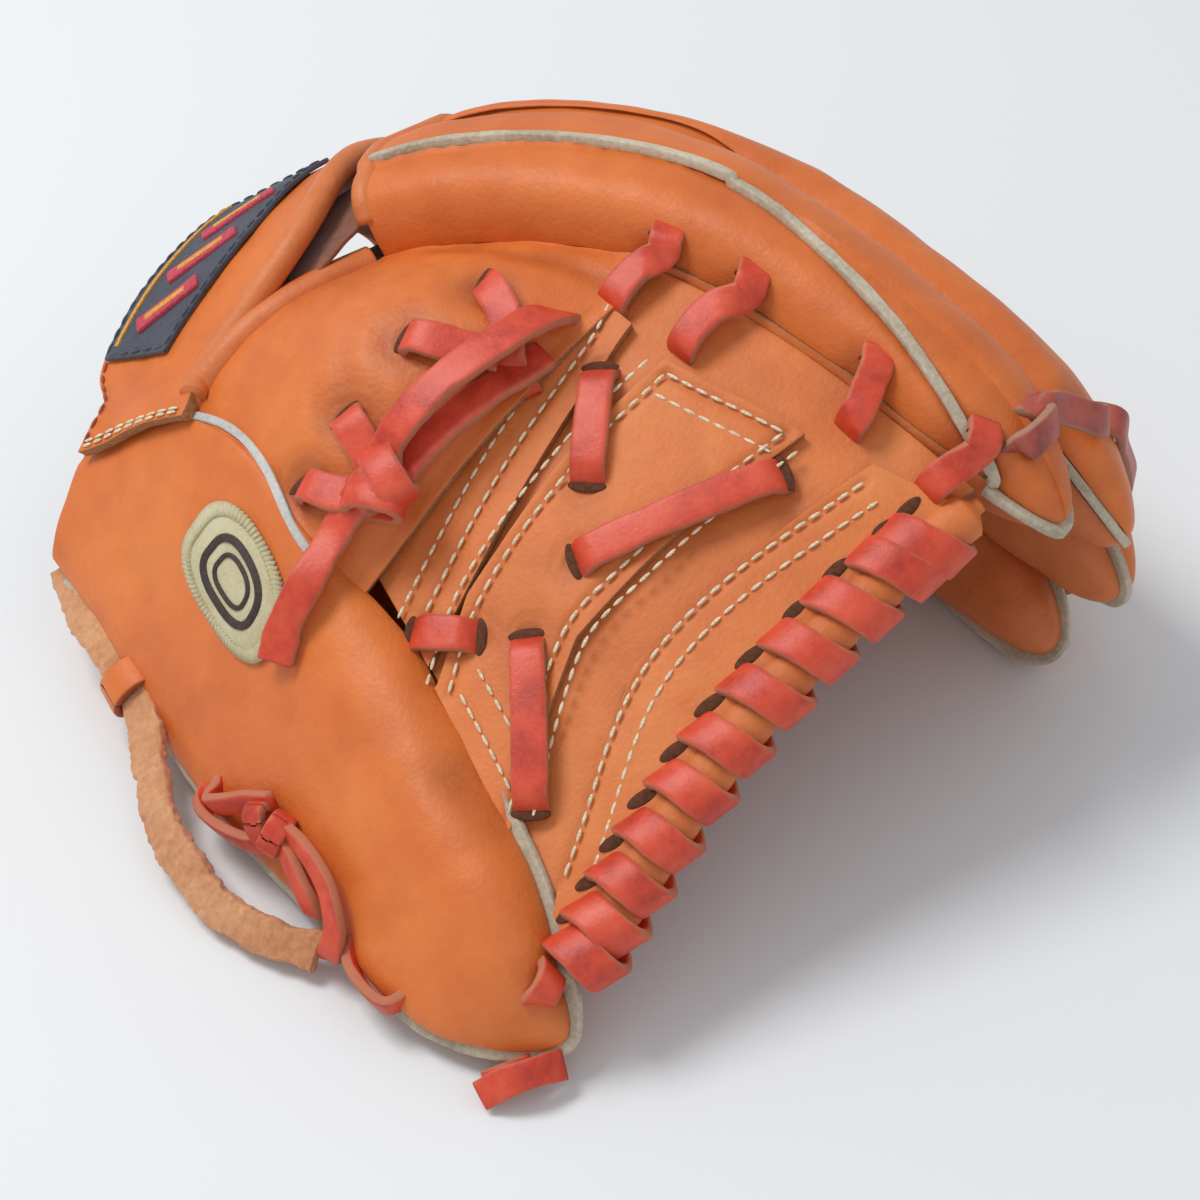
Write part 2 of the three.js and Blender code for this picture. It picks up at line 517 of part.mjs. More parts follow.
// Inside: pads, liner, stays and the little finger's loop.
const underLeather = -PALM_SINK - PALM_LEATHER - CLEAR;
const underPad = underLeather - PAD_THICK - CLEAR;
const linerT = PALM_T.slice(1, -1);
add("palm_pad", sheet(palmPoint, PALM_S.slice(14, 21), linerT, underLeather, underPad + CLEAR), FELT_LOOK);
add("palm_liner", sheet(palmPoint, PALM_S.slice(3, 20), linerT, underPad, underPad - LINER_THICK), LINER_LOOK);
const inStall = -PALM_LEATHER - CLEAR;
const thumbPad = sheet(frontOf("thumb"), ACROSS.slice(2, -2), steps(0.03, 0.4, 6), inStall, inStall - PAD_THICK);
add("thumb_pad", clearOf(thumbPad, grown.thumb), FELT_LOOK);
const inBack = -LEATHER - CLEAR;
for (const name of ["thumb", "little"]) {
  const stay = sheet(backOf(name), steps(-0.5, 0.5, 4), steps(0.45, 0.8, 6), inBack, inBack - STAY_THICK);
  add(`${name}_stay`, clearOf(stay, grown[name]), STAY_LOOK);
}

// The origin is at the middle of the box, on the ground.
const box = new THREE.Box3().setFromObject(glove);
const middle = box.getCenter(V(0, 0, 0));
glove.position.set(-middle.x, -middle.y, -box.min.z);

export default glove;
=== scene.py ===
import math

import bmesh
import bpy
import numpy as np
from mathutils import Matrix, Vector


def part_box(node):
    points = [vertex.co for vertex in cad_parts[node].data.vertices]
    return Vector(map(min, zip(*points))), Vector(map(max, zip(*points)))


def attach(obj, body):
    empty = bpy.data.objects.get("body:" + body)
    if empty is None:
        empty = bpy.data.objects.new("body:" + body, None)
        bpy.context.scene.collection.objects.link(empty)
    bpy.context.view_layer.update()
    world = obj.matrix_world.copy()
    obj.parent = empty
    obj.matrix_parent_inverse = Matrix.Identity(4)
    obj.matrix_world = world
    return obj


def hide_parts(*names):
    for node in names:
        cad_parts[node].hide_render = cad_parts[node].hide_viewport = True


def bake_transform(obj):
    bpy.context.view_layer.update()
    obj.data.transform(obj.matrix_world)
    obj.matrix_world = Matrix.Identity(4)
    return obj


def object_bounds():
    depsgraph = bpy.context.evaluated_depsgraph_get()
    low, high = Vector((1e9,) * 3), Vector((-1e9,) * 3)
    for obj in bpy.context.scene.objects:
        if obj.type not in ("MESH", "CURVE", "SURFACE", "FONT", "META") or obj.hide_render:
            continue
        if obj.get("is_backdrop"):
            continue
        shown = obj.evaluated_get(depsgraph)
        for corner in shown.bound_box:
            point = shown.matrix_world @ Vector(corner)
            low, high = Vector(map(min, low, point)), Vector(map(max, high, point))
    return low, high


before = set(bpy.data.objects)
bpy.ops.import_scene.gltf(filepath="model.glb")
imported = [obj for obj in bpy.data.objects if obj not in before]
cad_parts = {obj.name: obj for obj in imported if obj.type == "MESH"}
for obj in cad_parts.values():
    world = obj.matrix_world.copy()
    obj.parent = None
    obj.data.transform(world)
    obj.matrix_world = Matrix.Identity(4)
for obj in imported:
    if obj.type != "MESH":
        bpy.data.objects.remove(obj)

bl_info = {
    "name": "Laced Baseball Glove",
    "version": (1, 0, 0),
    "blender": (4, 5, 0),
    "location": "View3D > Sidebar > Glove",
    "description": "Dresses the frame of a laced leather baseball glove",
    "category": "Add Mesh",
}

CAD_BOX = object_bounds()
MM = 0.001

# ---- layout: the frame's own rails and stalls, in millimetres. The thumb's outer edge is drawn in where it
# is waisted. Shares along the glove (t, v, q) run from wrist to fingertips, shares across (a, s, u, p) from
# the thumb's side to the little finger's. ----
LEATHER = 3.0
PALM_LEATHER = 3.4
SEAM_HALF = 1.3
CLEAR = 0.3
FINGER_GAP = 0.8
WEB_LEATHER = 2.6
BAND_LEATHER = 2.4
LINING = 1.1
PAD_THICK = 3.2
CLOTH = 1.2
STRAP_THICK = 3.2
STALL_LENGTH = 200.0
ROUND_FROM = 0.72
SQUARENESS = 2.7
HAND_END = 0.34
BACKS_FROM = 0.17
STRAP_TO = 0.1
CROTCH_FROM = 0.145
CROTCH_TO = 0.4
CROTCH_BULGE = 15.0
WEB_BULGE = 4.0
EDGE_BOW = 7.0

RAILS = {
    "thumbOuter": [
        (-124, -50, 24), (-92, -56, 16), (-52, -65, 9), (-6, -72, 9.5), (26, -78, 8), (48, -74, 8),
    ],
    "thumbInner": [
        (-136, -27, 50), (-90, -22, 71), (-48, -33, 66), (-4, -46, 52), (28, -56, 38), (50, -62, 28),
    ],
    "indexWeb": [
        (-142, -8, 60), (-88, 24, 99), (-42, 44, 110), (-5, 51, 106), (28, 55, 97), (58, 58, 86),
    ],
    "indexMiddle": [
        (-143, 14, 65), (-94, 54, 101), (-46, 80, 104), (-8, 84, 98), (30, 85, 89), (62, 82, 76),
    ],
    "middleRing": [
        (-141, 34, 60), (-98, 78, 84), (-50, 100, 80), (-10, 104, 74), (30, 105, 63), (62, 101, 52),
    ],
    "ringLittle": [
        (-137, 50, 46), (-100, 90, 58), (-54, 110, 49), (-12, 111, 42), (25, 108, 33), (54, 101, 25),
    ],
    "littleOuter": [
        (-130, 57, 20), (-100, 85, 11), (-58, 101, 9.5), (-16, 101, 11.5), (16, 94, 12), (40, 85, 12),
    ],
}
# Half thickness of the stalls to the back and to the palm, from wrist to tip. LONG is index and middle.
THUMB_BACK, THUMB_FRONT = [17, 18, 17, 16, 14, 10], [13, 14, 14, 13, 12, 9]
LONG_BACK, LONG_FRONT = [18, 18, 17, 16, 15, 12], [14, 15, 15, 15, 14, 11]
RING_BACK, RING_FRONT = [18, 18, 17, 16, 14, 12], [14, 15, 15, 15, 13, 11]
LITTLE_BACK, LITTLE_FRONT = [18, 18, 17, 15, 13, 11], [14, 15, 15, 14, 12, 10]
# name: left rail, right rail, half thicknesses, seam rise and openness at each edge
STALLS = {
    "thumb": ("thumbOuter", "thumbInner", THUMB_BACK, THUMB_FRONT, (0.75, 0), (0, 0.8)),
    "index": ("indexWeb", "indexMiddle", LONG_BACK, LONG_FRONT, (0.1, 0.1), (0, 0.85)),
    "middle": ("indexMiddle", "middleRing", LONG_BACK, LONG_FRONT, (0.1, 0), (0.85, 0.85)),
    "ring": ("middleRing", "ringLittle", RING_BACK, RING_FRONT, (0, 0), (0.85, 0.85)),
    "little": ("ringLittle", "littleOuter", LITTLE_BACK, LITTLE_FRONT, (0, 0.1), (0.85, 0)),
}
FINGERS = ("index", "middle", "ring", "little")
# The index finger's side leather wraps up over its back, so its web side has no open seam.
SEAM_GAPS = {"index": 0.1}


def unit(v):
    return v / np.maximum(np.linalg.norm(v, axis=-1, keepdims=True), 1e-9)


def lerp(a, b, k):
    return a + (b - a) * k


def smooth(x, low, high):
    k = np.clip((x - low) / (high - low), 0, 1)
    return k * k * (3 - 2 * k)


def catmull(points):
    """A centripetal Catmull-Rom curve through the points, as a function of the share along it."""
    p = np.asarray(points, float)
    p = p[:, None] if p.ndim == 1 else p
    ends = np.vstack([2 * p[0] - p[1], p, 2 * p[-1] - p[-2]])
    gap = np.maximum(np.sqrt(np.linalg.norm(np.diff(ends, axis=0), axis=1)), 1e-4)[:, None]
    x0, x1, x2, x3 = ends[:-3], ends[1:-2], ends[2:-1], ends[3:]
    d0, d1, d2 = gap[:-2], gap[1:-1], gap[2:]
    m1 = ((x1 - x0) / d0 - (x2 - x0) / (d0 + d1) + (x2 - x1) / d1) * d1
    m2 = ((x2 - x1) / d1 - (x3 - x1) / (d1 + d2) + (x3 - x2) / d2) * d1

    def at(share):
        k = np.clip(np.asarray(share, float), 0, 1) * (len(p) - 1)
        i = np.minimum(k.astype(int), len(p) - 2)
        w = (k - i)[..., None]
        square = -3 * x1[i] + 3 * x2[i] - 2 * m1[i] - m2[i]
        cube = 2 * x1[i] - 2 * x2[i] + m1[i] + m2[i]
        return x1[i] + m1[i] * w + square * w**2 + cube * w**3

    return at


def profile(values):
    curve = catmull([(i, value) for i, value in enumerate(values)])
    return lambda t: curve(t)[..., 1]


RAIL = {name: catmull(points) for name, points in RAILS.items()}


def strip(left, right, t):
    """Centre, half width, side, forward and back directions of the strip between two rails."""
    at = np.clip(t, 0, 1)
    a, b = left(at), right(at)
    ahead, behind = np.minimum(at + 0.01, 1), np.maximum(at - 0.01, 0)
    forward = unit(left(ahead) + right(ahead) - left(behind) - right(behind))
    across = b - a
    side = unit(across - forward * np.sum(across * forward, -1, keepdims=True))
    centre = (a + b) / 2 + forward * ((t - at) * STALL_LENGTH)[..., None]
    return centre, np.linalg.norm(across, axis=-1) / 2, side, forward, unit(np.cross(forward, side))


STALL = {}
for name, (left, right, back, front, rise, gap) in STALLS.items():
    STALL[name] = (RAIL[left], RAIL[right], profile(back), profile(front), rise, gap)


def stall_point(name, sign, a, t, height):
    """A point on a stall's back (sign 1) or palm side (sign -1), height above its leather."""
    left, right, back, front, rise, gap = STALL[name]
    a, t, height = np.broadcast_arrays(*(np.asarray(x, float) for x in (a, t, height)))
    at = t * (1 + height / STALL_LENGTH)
    centre, width, side, _, up = strip(left, right, at)
    into = np.maximum(0, (t - ROUND_FROM) / (1 - ROUND_FROM))
    tip = np.sqrt(np.maximum(0, 1 - into**2))
    half = (width - FINGER_GAP / 2 + height) * tip
    thick = ((back(at) if sign > 0 else front(at)) + height) * tip
    lifted = lerp(gap[0], gap[1], (a + 1) / 2) * (1 - smooth(at, 0.3, 0.5))
    arch = np.maximum(0, 1 - np.abs(a) ** SQUARENESS) ** (1 / SQUARENESS)
    seam = lerp(rise[0], rise[1], (a + 1) / 2) * back(at) * tip
    level = lifted + (1 - lifted) * arch
    half_gap = np.where(a < 0, SEAM_GAPS.get(name, SEAM_HALF), SEAM_HALF)
    above, below = seam + half_gap + (thick - seam) * level, seam - half_gap - (thick + seam) * level
    lift = above if sign > 0 else below
    return centre + side * (a * half)[..., None] + up * lift[..., None]


def back_of(name):
    return lambda a, t, height: stall_point(name, 1, a, t, height)


def front_of(name):
    return lambda a, t, height: stall_point(name, -1, a, t, height)


def across_hand(stations_at):
    """A surface from stations across the hand that depend on how far along it they lie."""

    def surface(s, t, height):
        s, t, height = np.broadcast_arrays(*(np.asarray(x, float) for x in (s, t, height)))
        points = np.zeros(s.shape + (3,))
        keys = np.round(np.stack([t, height], -1), 6)
        for key in np.unique(keys.reshape(-1, 2), axis=0):
            mask = np.all(keys == key, axis=-1)
            points[mask] = catmull(stations_at(*key))(s[mask])
        return points

    return surface


# The palm leather runs on over the thumb's palm side, so that no gap shows where the glove folds.
PALM_OVER_THUMB = (0.2, 0.55)


def palm_stations(t, height):
    t = np.asarray(t, float)
    crotch = strip(RAIL["thumbInner"], RAIL["indexWeb"], t)
    rows = [stall_point("thumb", -1, a, t, height) for a in PALM_OVER_THUMB]
    rows.append(crotch[0] - crotch[4] * (STALL["index"][3](t) + height))
    before = crotch
    for name in FINGERS:
        left, right, _, front, _, _ = STALL[name]
        f = strip(left, right, t)
        rows.append(left(t) - unit(f[4] + before[4]) * (front(t) + height))
        rows.append(f[0] - f[4] * (front(t) + height))
        before = f
    outer = before[1] - FINGER_GAP / 2 + height
    rows.append(before[0] + before[2] * outer * 0.85 - before[4] * (STALL["little"][3](t) * 0.72 + height))
    rows.append(before[0] + before[2] * outer - before[4] * SEAM_HALF)
    return rows


# The strap also runs on over the back of the thumb, where it is stitched down.
STRAP_OVER_THUMB = (0.42, 0.74, 0.97)


def strap_stations(t, height):
    t = np.asarray(t, float)
    crotch = strip(RAIL["thumbInner"], RAIL["indexWeb"], t)
    rows = [stall_point("thumb", 1, a, t + 0.012, height + 3.4) for a in STRAP_OVER_THUMB]
    rows.append(RAIL["thumbInner"](t) + crotch[2] * 4 + crotch[4] * (17 + height))
    before = crotch
    for name in FINGERS:
        left, right, back, _, _, _ = STALL[name]
        f = strip(left, right, t)
        rows.append(left(t) + unit(f[4] + before[4]) * (back(t) + height))
        before = f
    lower = STALL["little"][2](t) * 0.8 + height
    rows.append(before[0] + before[2] * before[1] * 0.7 + before[4] * lower)
    rows.append(before[0] + before[2] * before[1] + before[4] * (STRAP_THICK + CLEAR - SEAM_HALF + height))
    return rows


palm_point = across_hand(palm_stations)
strap_point = across_hand(strap_stations)


def crotch_point(u, t, height):
    u, t, height = np.broadcast_arrays(*(np.asarray(x, float) for x in (u, t, height)))
    f = strip(RAIL["thumbInner"], RAIL["indexWeb"], t)
    low = stall_point("thumb", 1, 1.0, t, 0.0) + f[2] * 0.6
    high = stall_point("index", 1, -1.0, t, 0.0) - f[2] * CLEAR
    rise = 0.45 + 0.55 * np.sin(np.pi * np.clip((t - CROTCH_FROM) / (CROTCH_TO - CROTCH_FROM), 0, 1))
    swell = np.sin(np.pi * np.clip(u, 0, 1)) * rise
    return lerp(low, high, u[..., None]) + f[4] * (CROTCH_BULGE * swell + height)[..., None]


def web_point(u, v, height):
    u, v, height = np.broadcast_arrays(*(np.asarray(x, float) for x in (u, v, height)))
    t = lerp(CROTCH_TO + 0.02, 0.9, v)
    f = strip(RAIL["thumbInner"], RAIL["indexWeb"], t)
    low = RAIL["thumbInner"](np.clip(t, 0, 1)) + f[2] * CLEAR
    high = RAIL["indexWeb"](np.clip(t, 0, 1)) - f[2] * CLEAR
    swell = np.sin(np.pi * np.clip(u, 0, 1))
    point = lerp(low, high, u[..., None]) + f[4] * (WEB_BULGE * swell + height)[..., None]
    return point - f[3] * (EDGE_BOW * swell * v)[..., None]


SURFACE = {"web": web_point, "crotch": crotch_point, "palm": palm_point, "strap": strap_point}
for stall in STALLS:
    SURFACE[stall] = back_of(stall)
    SURFACE[stall + "_front"] = front_of(stall)


def frame_shift():
    """What moves the layout on to the frame: the middle finger's back leather is laid on its node."""
    tips = [lerp(ROUND_FROM, 1, k) for k in (0.3, 0.55, 0.75, 0.9, 0.98, 1)]
    t = np.array([*np.linspace(BACKS_FROM, ROUND_FROM, 8), *tips])[:, None]
    a = np.cos(np.linspace(math.pi, 0, 9))[None, :]
    shell = np.concatenate([stall_point("middle", 1, a, t, h).reshape(-1, 3) for h in (0.0, -LEATHER)])
    return np.array(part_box("middle_back")[0]) / MM - shell.min(0)


SHIFT = frame_shift()


def place(points):
    """Layout to frame, in metres. Nothing reaches below the ground that the glove rests on."""
    moved = np.asarray(points) + SHIFT
    moved[..., 2] = np.maximum(moved[..., 2], 0.0)
    return moved * MM


# ---- materials ----
def linear(colour):
    """An sRGB hex colour as the linear values that shaders take."""
    parts = [int(colour[i : i + 2], 16) / 255 for i in (1, 3, 5)]
    return tuple(p / 12.92 if p <= 0.04045 else ((p + 0.055) / 1.055) ** 2.4 for p in parts) + (1.0,)


def add_node(tree, kind, settings=None, **inputs):
    """Adds a node, sets it up and links or fills its inputs, named by label or by number as i0, i1."""
    node = tree.nodes.new(kind)
    for key, value in (settings or {}).items():
        setattr(node, key, value)
    for key, value in inputs.items():
        numbered = key[0] == "i" and key[1:].isdigit()
        socket = node.inputs[int(key[1:])] if numbered else node.inputs[key.replace("_", " ")]
        if isinstance(value, bpy.types.NodeSocket):
            tree.links.new(value, socket)
        else:
            socket.default_value = value
    return node


def new_material(name):
    material = bpy.data.materials.new(name)
    material.use_nodes = True
    tree = material.node_tree
    tree.nodes.clear()
    return material, tree


def tones(tree, factor, stops):
    ramp = add_node(tree, "ShaderNodeValToRGB", Fac=factor)
    elements = ramp.color_ramp.elements
    while len(elements) < len(stops):
        elements.new(0.5)
    for element, (position, colour) in zip(elements, stops):
        element.position = position
        element.color = colour if isinstance(colour, tuple) else linear(colour)
    return ramp.outputs["Color"]


def mix(tree, factor, a, b, blend="MIX"):
    settings = {"data_type": "RGBA", "blend_type": blend}
    return add_node(tree, "ShaderNodeMix", settings, i0=factor, i6=a, i7=b).outputs[2]


def math_node(tree, operation, a, b=0.0):
    return add_node(tree, "ShaderNodeMath", {"operation": operation}, i0=a, i1=b).outputs[0]


def finish_material(tree, colour, roughness, height=None, strength=0.3, distance=0.3, **shader):
    """Principled shader with bump; roughness may be a value or a socket."""
    links = {"Base_Color": colour, "Roughness": roughness, **shader}
    if height is not None:
        settings = {"Strength": strength, "Distance": distance * MM, "Height": height}
        links["Normal"] = add_node(tree, "ShaderNodeBump", None, **settings).outputs[0]
    principled = add_node(tree, "ShaderNodeBsdfPrincipled", None, **links)
    add_node(tree, "ShaderNodeOutputMaterial", None, Surface=principled.outputs[0])


def per_metre(mm):
    """The texture scale, in object coordinates, that gives a feature of this size."""
    return 1000.0 / mm


# Sizes of the hide's features in millimetres. Real pores are about 0.3 mm across and wouldn't show, so they
# are drawn as coarse as they need to.
CLOUD_MM = 42
MOTTLE_MM = 7
WRINKLE_MM = 3.2
PORE_MM = 1.1


def steerhide(name, light, mid, dark, shade_colour, roughness=(0.36, 0.56)):
    """Oiled, drum-dyed steerhide: fine pores, soft tone changes, and painted shade in its dents and grooves."""
    material, tree = new_material(name)
    at = add_node(tree, "ShaderNodeTexCoord").outputs["Object"]
    shade = add_node(tree, "ShaderNodeAttribute", {"attribute_name": "shade"}).outputs["Fac"]
    cloudy = {"Vector": at, "Scale": per_metre(CLOUD_MM), "Detail": 4.0, "Roughness": 0.6}
    cloud = add_node(tree, "ShaderNodeTexNoise", None, **cloudy).outputs[0]
    fine = {"Vector": at, "Scale": per_metre(MOTTLE_MM), "Detail": 5.0, "Roughness": 0.65, "Distortion": 0.6}
    mottle = add_node(tree, "ShaderNodeTexNoise", None, **fine).outputs[0]
    colour = tones(tree, cloud, [(0.3, dark), (0.5, mid), (0.7, light)])
    colour = mix(tree, 0.22, colour, tones(tree, mottle, [(0.35, dark), (0.65, light)]))
    # Painted shade: where the mesh's shade value is high, in dents and grooves, the shade colour darkens the
    # leather.
    colour = mix(tree, math_node(tree, "MULTIPLY", shade, 0.85), colour, linear(shade_colour))
    pores = {"Vector": at, "Scale": per_metre(PORE_MM), "Randomness": 1.0}
    cell = add_node(tree, "ShaderNodeTexVoronoi", {"feature": "F1"}, **pores).outputs["Distance"]
    wrinkle = {"Vector": at, "Scale": per_metre(WRINKLE_MM), "Detail": 8.0, "Roughness": 0.7, "Distortion": 1.2}
    wrinkles = add_node(tree, "ShaderNodeTexNoise", None, **wrinkle).outputs[0]
    height = math_node(tree, "ADD", math_node(tree, "MULTIPLY", cell, 0.35), wrinkles)
    smoothest, roughest = roughness
    rough = add_node(tree, "ShaderNodeMapRange", None, i0=mottle, i3=smoothest, i4=roughest).outputs[0]
    finish_material(tree, colour, rough, height, 0.45, 0.45, IOR=1.46)
    return material


def raw_edge(name, light, dark):
    """Cut edge of tanned hide: fibrous, matt and paler than the dyed grain side."""
    material, tree = new_material(name)
    at = add_node(tree, "ShaderNodeTexCoord").outputs["Object"]
    fibre = {"Vector": at, "Scale": per_metre(0.9), "Detail": 6.0, "Roughness": 0.8}
    noise = add_node(tree, "ShaderNodeTexNoise", None, **fibre).outputs[0]
    colour = tones(tree, noise, [(0.35, dark), (0.65, light)])
    finish_material(tree, colour, 0.95, noise, 0.6, 0.4)
    return material


def lace_material(name, light, mid, dark, edge):
    """Waxed rawhide lace: glossy dyed face with fine cross cracks, pale fibrous cut sides."""
    material, tree = new_material(name)
    at = add_node(tree, "ShaderNodeTexCoord").outputs["Object"]
    side = add_node(tree, "ShaderNodeAttribute", {"attribute_name": "shade"}).outputs["Fac"]
    patchy = {"Vector": at, "Scale": per_metre(9), "Detail": 5.0, "Roughness": 0.65}
    cloud = add_node(tree, "ShaderNodeTexNoise", None, **patchy).outputs[0]
    colour = tones(tree, cloud, [(0.3, dark), (0.5, mid), (0.72, light)])
    fibre = {"Vector": at, "Scale": per_metre(1.0), "Detail": 6.0, "Roughness": 0.75}
    noise = add_node(tree, "ShaderNodeTexNoise", None, **fibre).outputs[0]
    edges = math_node(tree, "MULTIPLY", side, math_node(tree, "ADD", noise, 0.35))
    colour = mix(tree, edges, colour, linear(edge))
    cracks = {"Vector": at, "Scale": per_metre(1.6), "Randomness": 1.0}
    cell = add_node(tree, "ShaderNodeTexVoronoi", {"feature": "DISTANCE_TO_EDGE"}, **cracks).outputs[0]
    height = math_node(tree, "ADD", math_node(tree, "MULTIPLY", cell, 0.5), noise)
    rough = add_node(tree, "ShaderNodeMapRange", None, i0=side, i3=0.4, i4=0.9).outputs[0]
    finish_material(tree, colour, rough, height, 0.35, 0.3)
    return material


def fuzzy(name, light, dark, size_mm=1.4, rough=0.95):
    """Split leather, suede or felt: matt nap that scatters light, so it has a little sheen."""
    material, tree = new_material(name)
    at = add_node(tree, "ShaderNodeTexCoord").outputs["Object"]
    nap = {"Vector": at, "Scale": per_metre(size_mm), "Detail": 8.0, "Roughness": 0.8}
    noise = add_node(tree, "ShaderNodeTexNoise", None, **nap).outputs[0]
    broad = {"Vector": at, "Scale": per_metre(14), "Detail": 3.0}
    cloud = add_node(tree, "ShaderNodeTexNoise", None, **broad).outputs[0]
    fine, wide = math_node(tree, "MULTIPLY", noise, 0.6), math_node(tree, "MULTIPLY", cloud, 0.4)
    both = math_node(tree, "ADD", fine, wide)
    colour = tones(tree, both, [(0.36, dark), (0.62, light)])
    finish_material(tree, colour, rough, noise, 0.7, 0.5, Sheen_Weight=0.25, Sheen_Roughness=0.5)
    return material


def thread(name, light, dark):
    """Waxed polyester thread: two plies that show as slanting ribs."""
    material, tree = new_material(name)
    at = add_node(tree, "ShaderNodeTexCoord").outputs["Object"]
    ply = {"Vector": at, "Scale": per_metre(0.6), "Detail": 3.0}
    noise = add_node(tree, "ShaderNodeTexNoise", None, **ply).outputs[0]
    finish_material(tree, tones(tree, noise, [(0.35, dark), (0.65, light)]), 0.7, noise, 0.5, 0.2)
    return material


MATERIALS = {}


def sizes():
    return bpy.context.scene.glove_sizes


def make_materials():
    look = bpy.context.scene.glove_looks
    chosen = (look.leather_colour, look.lace_colour, look.welt_colour, look.thread_colour)
    leather, lace, welt, cream = (tuple(colour) for colour in chosen)
    # Full-grain hide, drum dyed and oiled: a warm orange with cloudy tones and a soft, broad shine.
    # The last colour given to each hide below is the painted shade of its dents and grooves.
    MATERIALS["back"] = steerhide("oiled_steerhide_backs", "#e3803b", leather, "#c96227", "#8c3f1c")
    # The same hide, handled more: a little browner, with its own painted shade colour for its dents and
    # grooves.
    MATERIALS["palm"] = steerhide("oiled_steerhide_palm", "#dd8149", "#d1733b", "#bd602e", "#80401f")
    # Web hide, rubbed by the ball: the same orange but duller.
    tones_of_web = ("#e48a4a", "#db783a", "#c9672f", "#8a421f")
    MATERIALS["web"] = steerhide("oiled_steerhide_web", *tones_of_web, roughness=(0.42, 0.62))
    # Cut edge of the hide: undyed tan fibres with no shine, a pale line round each panel.
    MATERIALS["edge"] = raw_edge("cut_hide_edge", "#bd8a5c", "#865434")
    # Rawhide lace, dyed through and waxed: glossy red faces with paler, rough sides.
    MATERIALS["lace"] = lace_material("waxed_rawhide_lace", "#e05a3c", lace, "#b02f1c", "#b8785a")
    # Lace at the fingertips, scuffed on the ground: dusty and browner.
    MATERIALS["worn_lace"] = lace_material("worn_rawhide_lace", "#c25f4e", "#ab4b3d", "#86382d", "#a8836b")
    # Welt of split leather, grey with handling: a matt, fibrous pale line in the seams.
    MATERIALS["welt"] = fuzzy("split_leather_welt", welt, "#9d8d74")
    # A welt that has stayed clean: nearly white and smoother.
    MATERIALS["pale_welt"] = fuzzy("new_leather_welt", "#d9d8d3", "#aeaba4", 1.0)
    # Suede, the flesh side out: tan nap that breaks up the light and frays at its outline.
    MATERIALS["suede"] = fuzzy("rough_out_suede", "#dda374", "#b8744a", 2.2)
    # Pressed wool felt of the pads: an even, soft off-white.
    MATERIALS["felt"] = fuzzy("pressed_wool_felt", "#ddd3c2", "#b9ad98")
    # Soft lining leather, brushed: a deep, quiet brown inside the hand.
    MATERIALS["liner"] = fuzzy("glove_lining_leather", "#9a5f43", "#6a3d2b", 1.8, 0.85)
    # Woven polyester of the label: flat dark blue with a fine grain.
    MATERIALS["navy"] = fuzzy("woven_navy_label", "#4c515f", "#2f3340", 0.8)
    # Felt and satin stitch of the patch: a greenish cream with a fine fibre.
    MATERIALS["cream"] = fuzzy("cream_felt_patch", "#d9cfa8", "#b5a87e", 0.8)
    # Waxed polyester sewing thread: bright cream beads in even rows.
    MATERIALS["thread"] = thread("cream_waxed_thread", cream, "#c9b48c")
    # The same thread dyed close to the leather, so its rows hardly show.
    MATERIALS["brown_thread"] = thread("rust_waxed_thread", "#b4573a", "#8a3d28")
    # Embroidery threads of the patch and the label: dense, slightly glossy strands.
    MATERIALS["dark_thread"] = thread("dark_embroidery_thread", "#4a3a30", "#2c221d")
    MATERIALS["red_thread"] = thread("red_embroidery_thread", "#d1485a", "#a83244")
    MATERIALS["gold_thread"] = thread("gold_embroidery_thread", "#e2a84a", "#c08230")
    # Moulded fibreboard of the stiffeners: plain, smooth and pale.
    MATERIALS["stay"] = fuzzy("moulded_stiffener", "#e6e2d6", "#cfcabb", 3.0, 0.6)
    # Inside of a punched hole: dark brown fibres that paint the shade inside the hole.
    MATERIALS["hole"] = raw_edge("painted_hole_shade", "#6e3f26", "#472617")


# ---- meshes ----
def new_object(name, bm, materials):
    mesh = bpy.data.meshes.new(name)
    bm.to_mesh(mesh)
    bm.free()
    for polygon in mesh.polygons:
        polygon.use_smooth = True
    piece = bpy.data.objects.new(name, mesh)
    bpy.context.scene.collection.objects.link(piece)
    for key in materials:
        mesh.materials.append(MATERIALS[key])
    return piece


def start_mesh():
    """A mesh to build in, with the shade that the finishes read."""
    bm = bmesh.new()
    bm.verts.layers.float.new("shade")
    return bm


def dent(points, centres, radius, depth):
    """How deep each point lies in soft dents round the centres."""
    total = np.zeros(len(points))
    for centre in np.atleast_2d(centres):
        near = np.sum((points - centre) ** 2, axis=1)
        total = np.maximum(total, depth * np.exp(-near / radius**2))
    return total


def ripple(points, size, seed, octaves=3):
    """Soft uneven relief from -1 to 1: a sum of waves in seeded directions."""
    turn = np.random.default_rng(seed)
    total = np.zeros(len(points))
    for octave in range(octaves):
        for _ in range(4):
            way = unit(turn.normal(size=3)) * 2 * math.pi / (size / 1.8**octave)
            total += np.sin(points @ way + turn.uniform(0, 6.3)) / (4 * 1.5**octave)
    return total


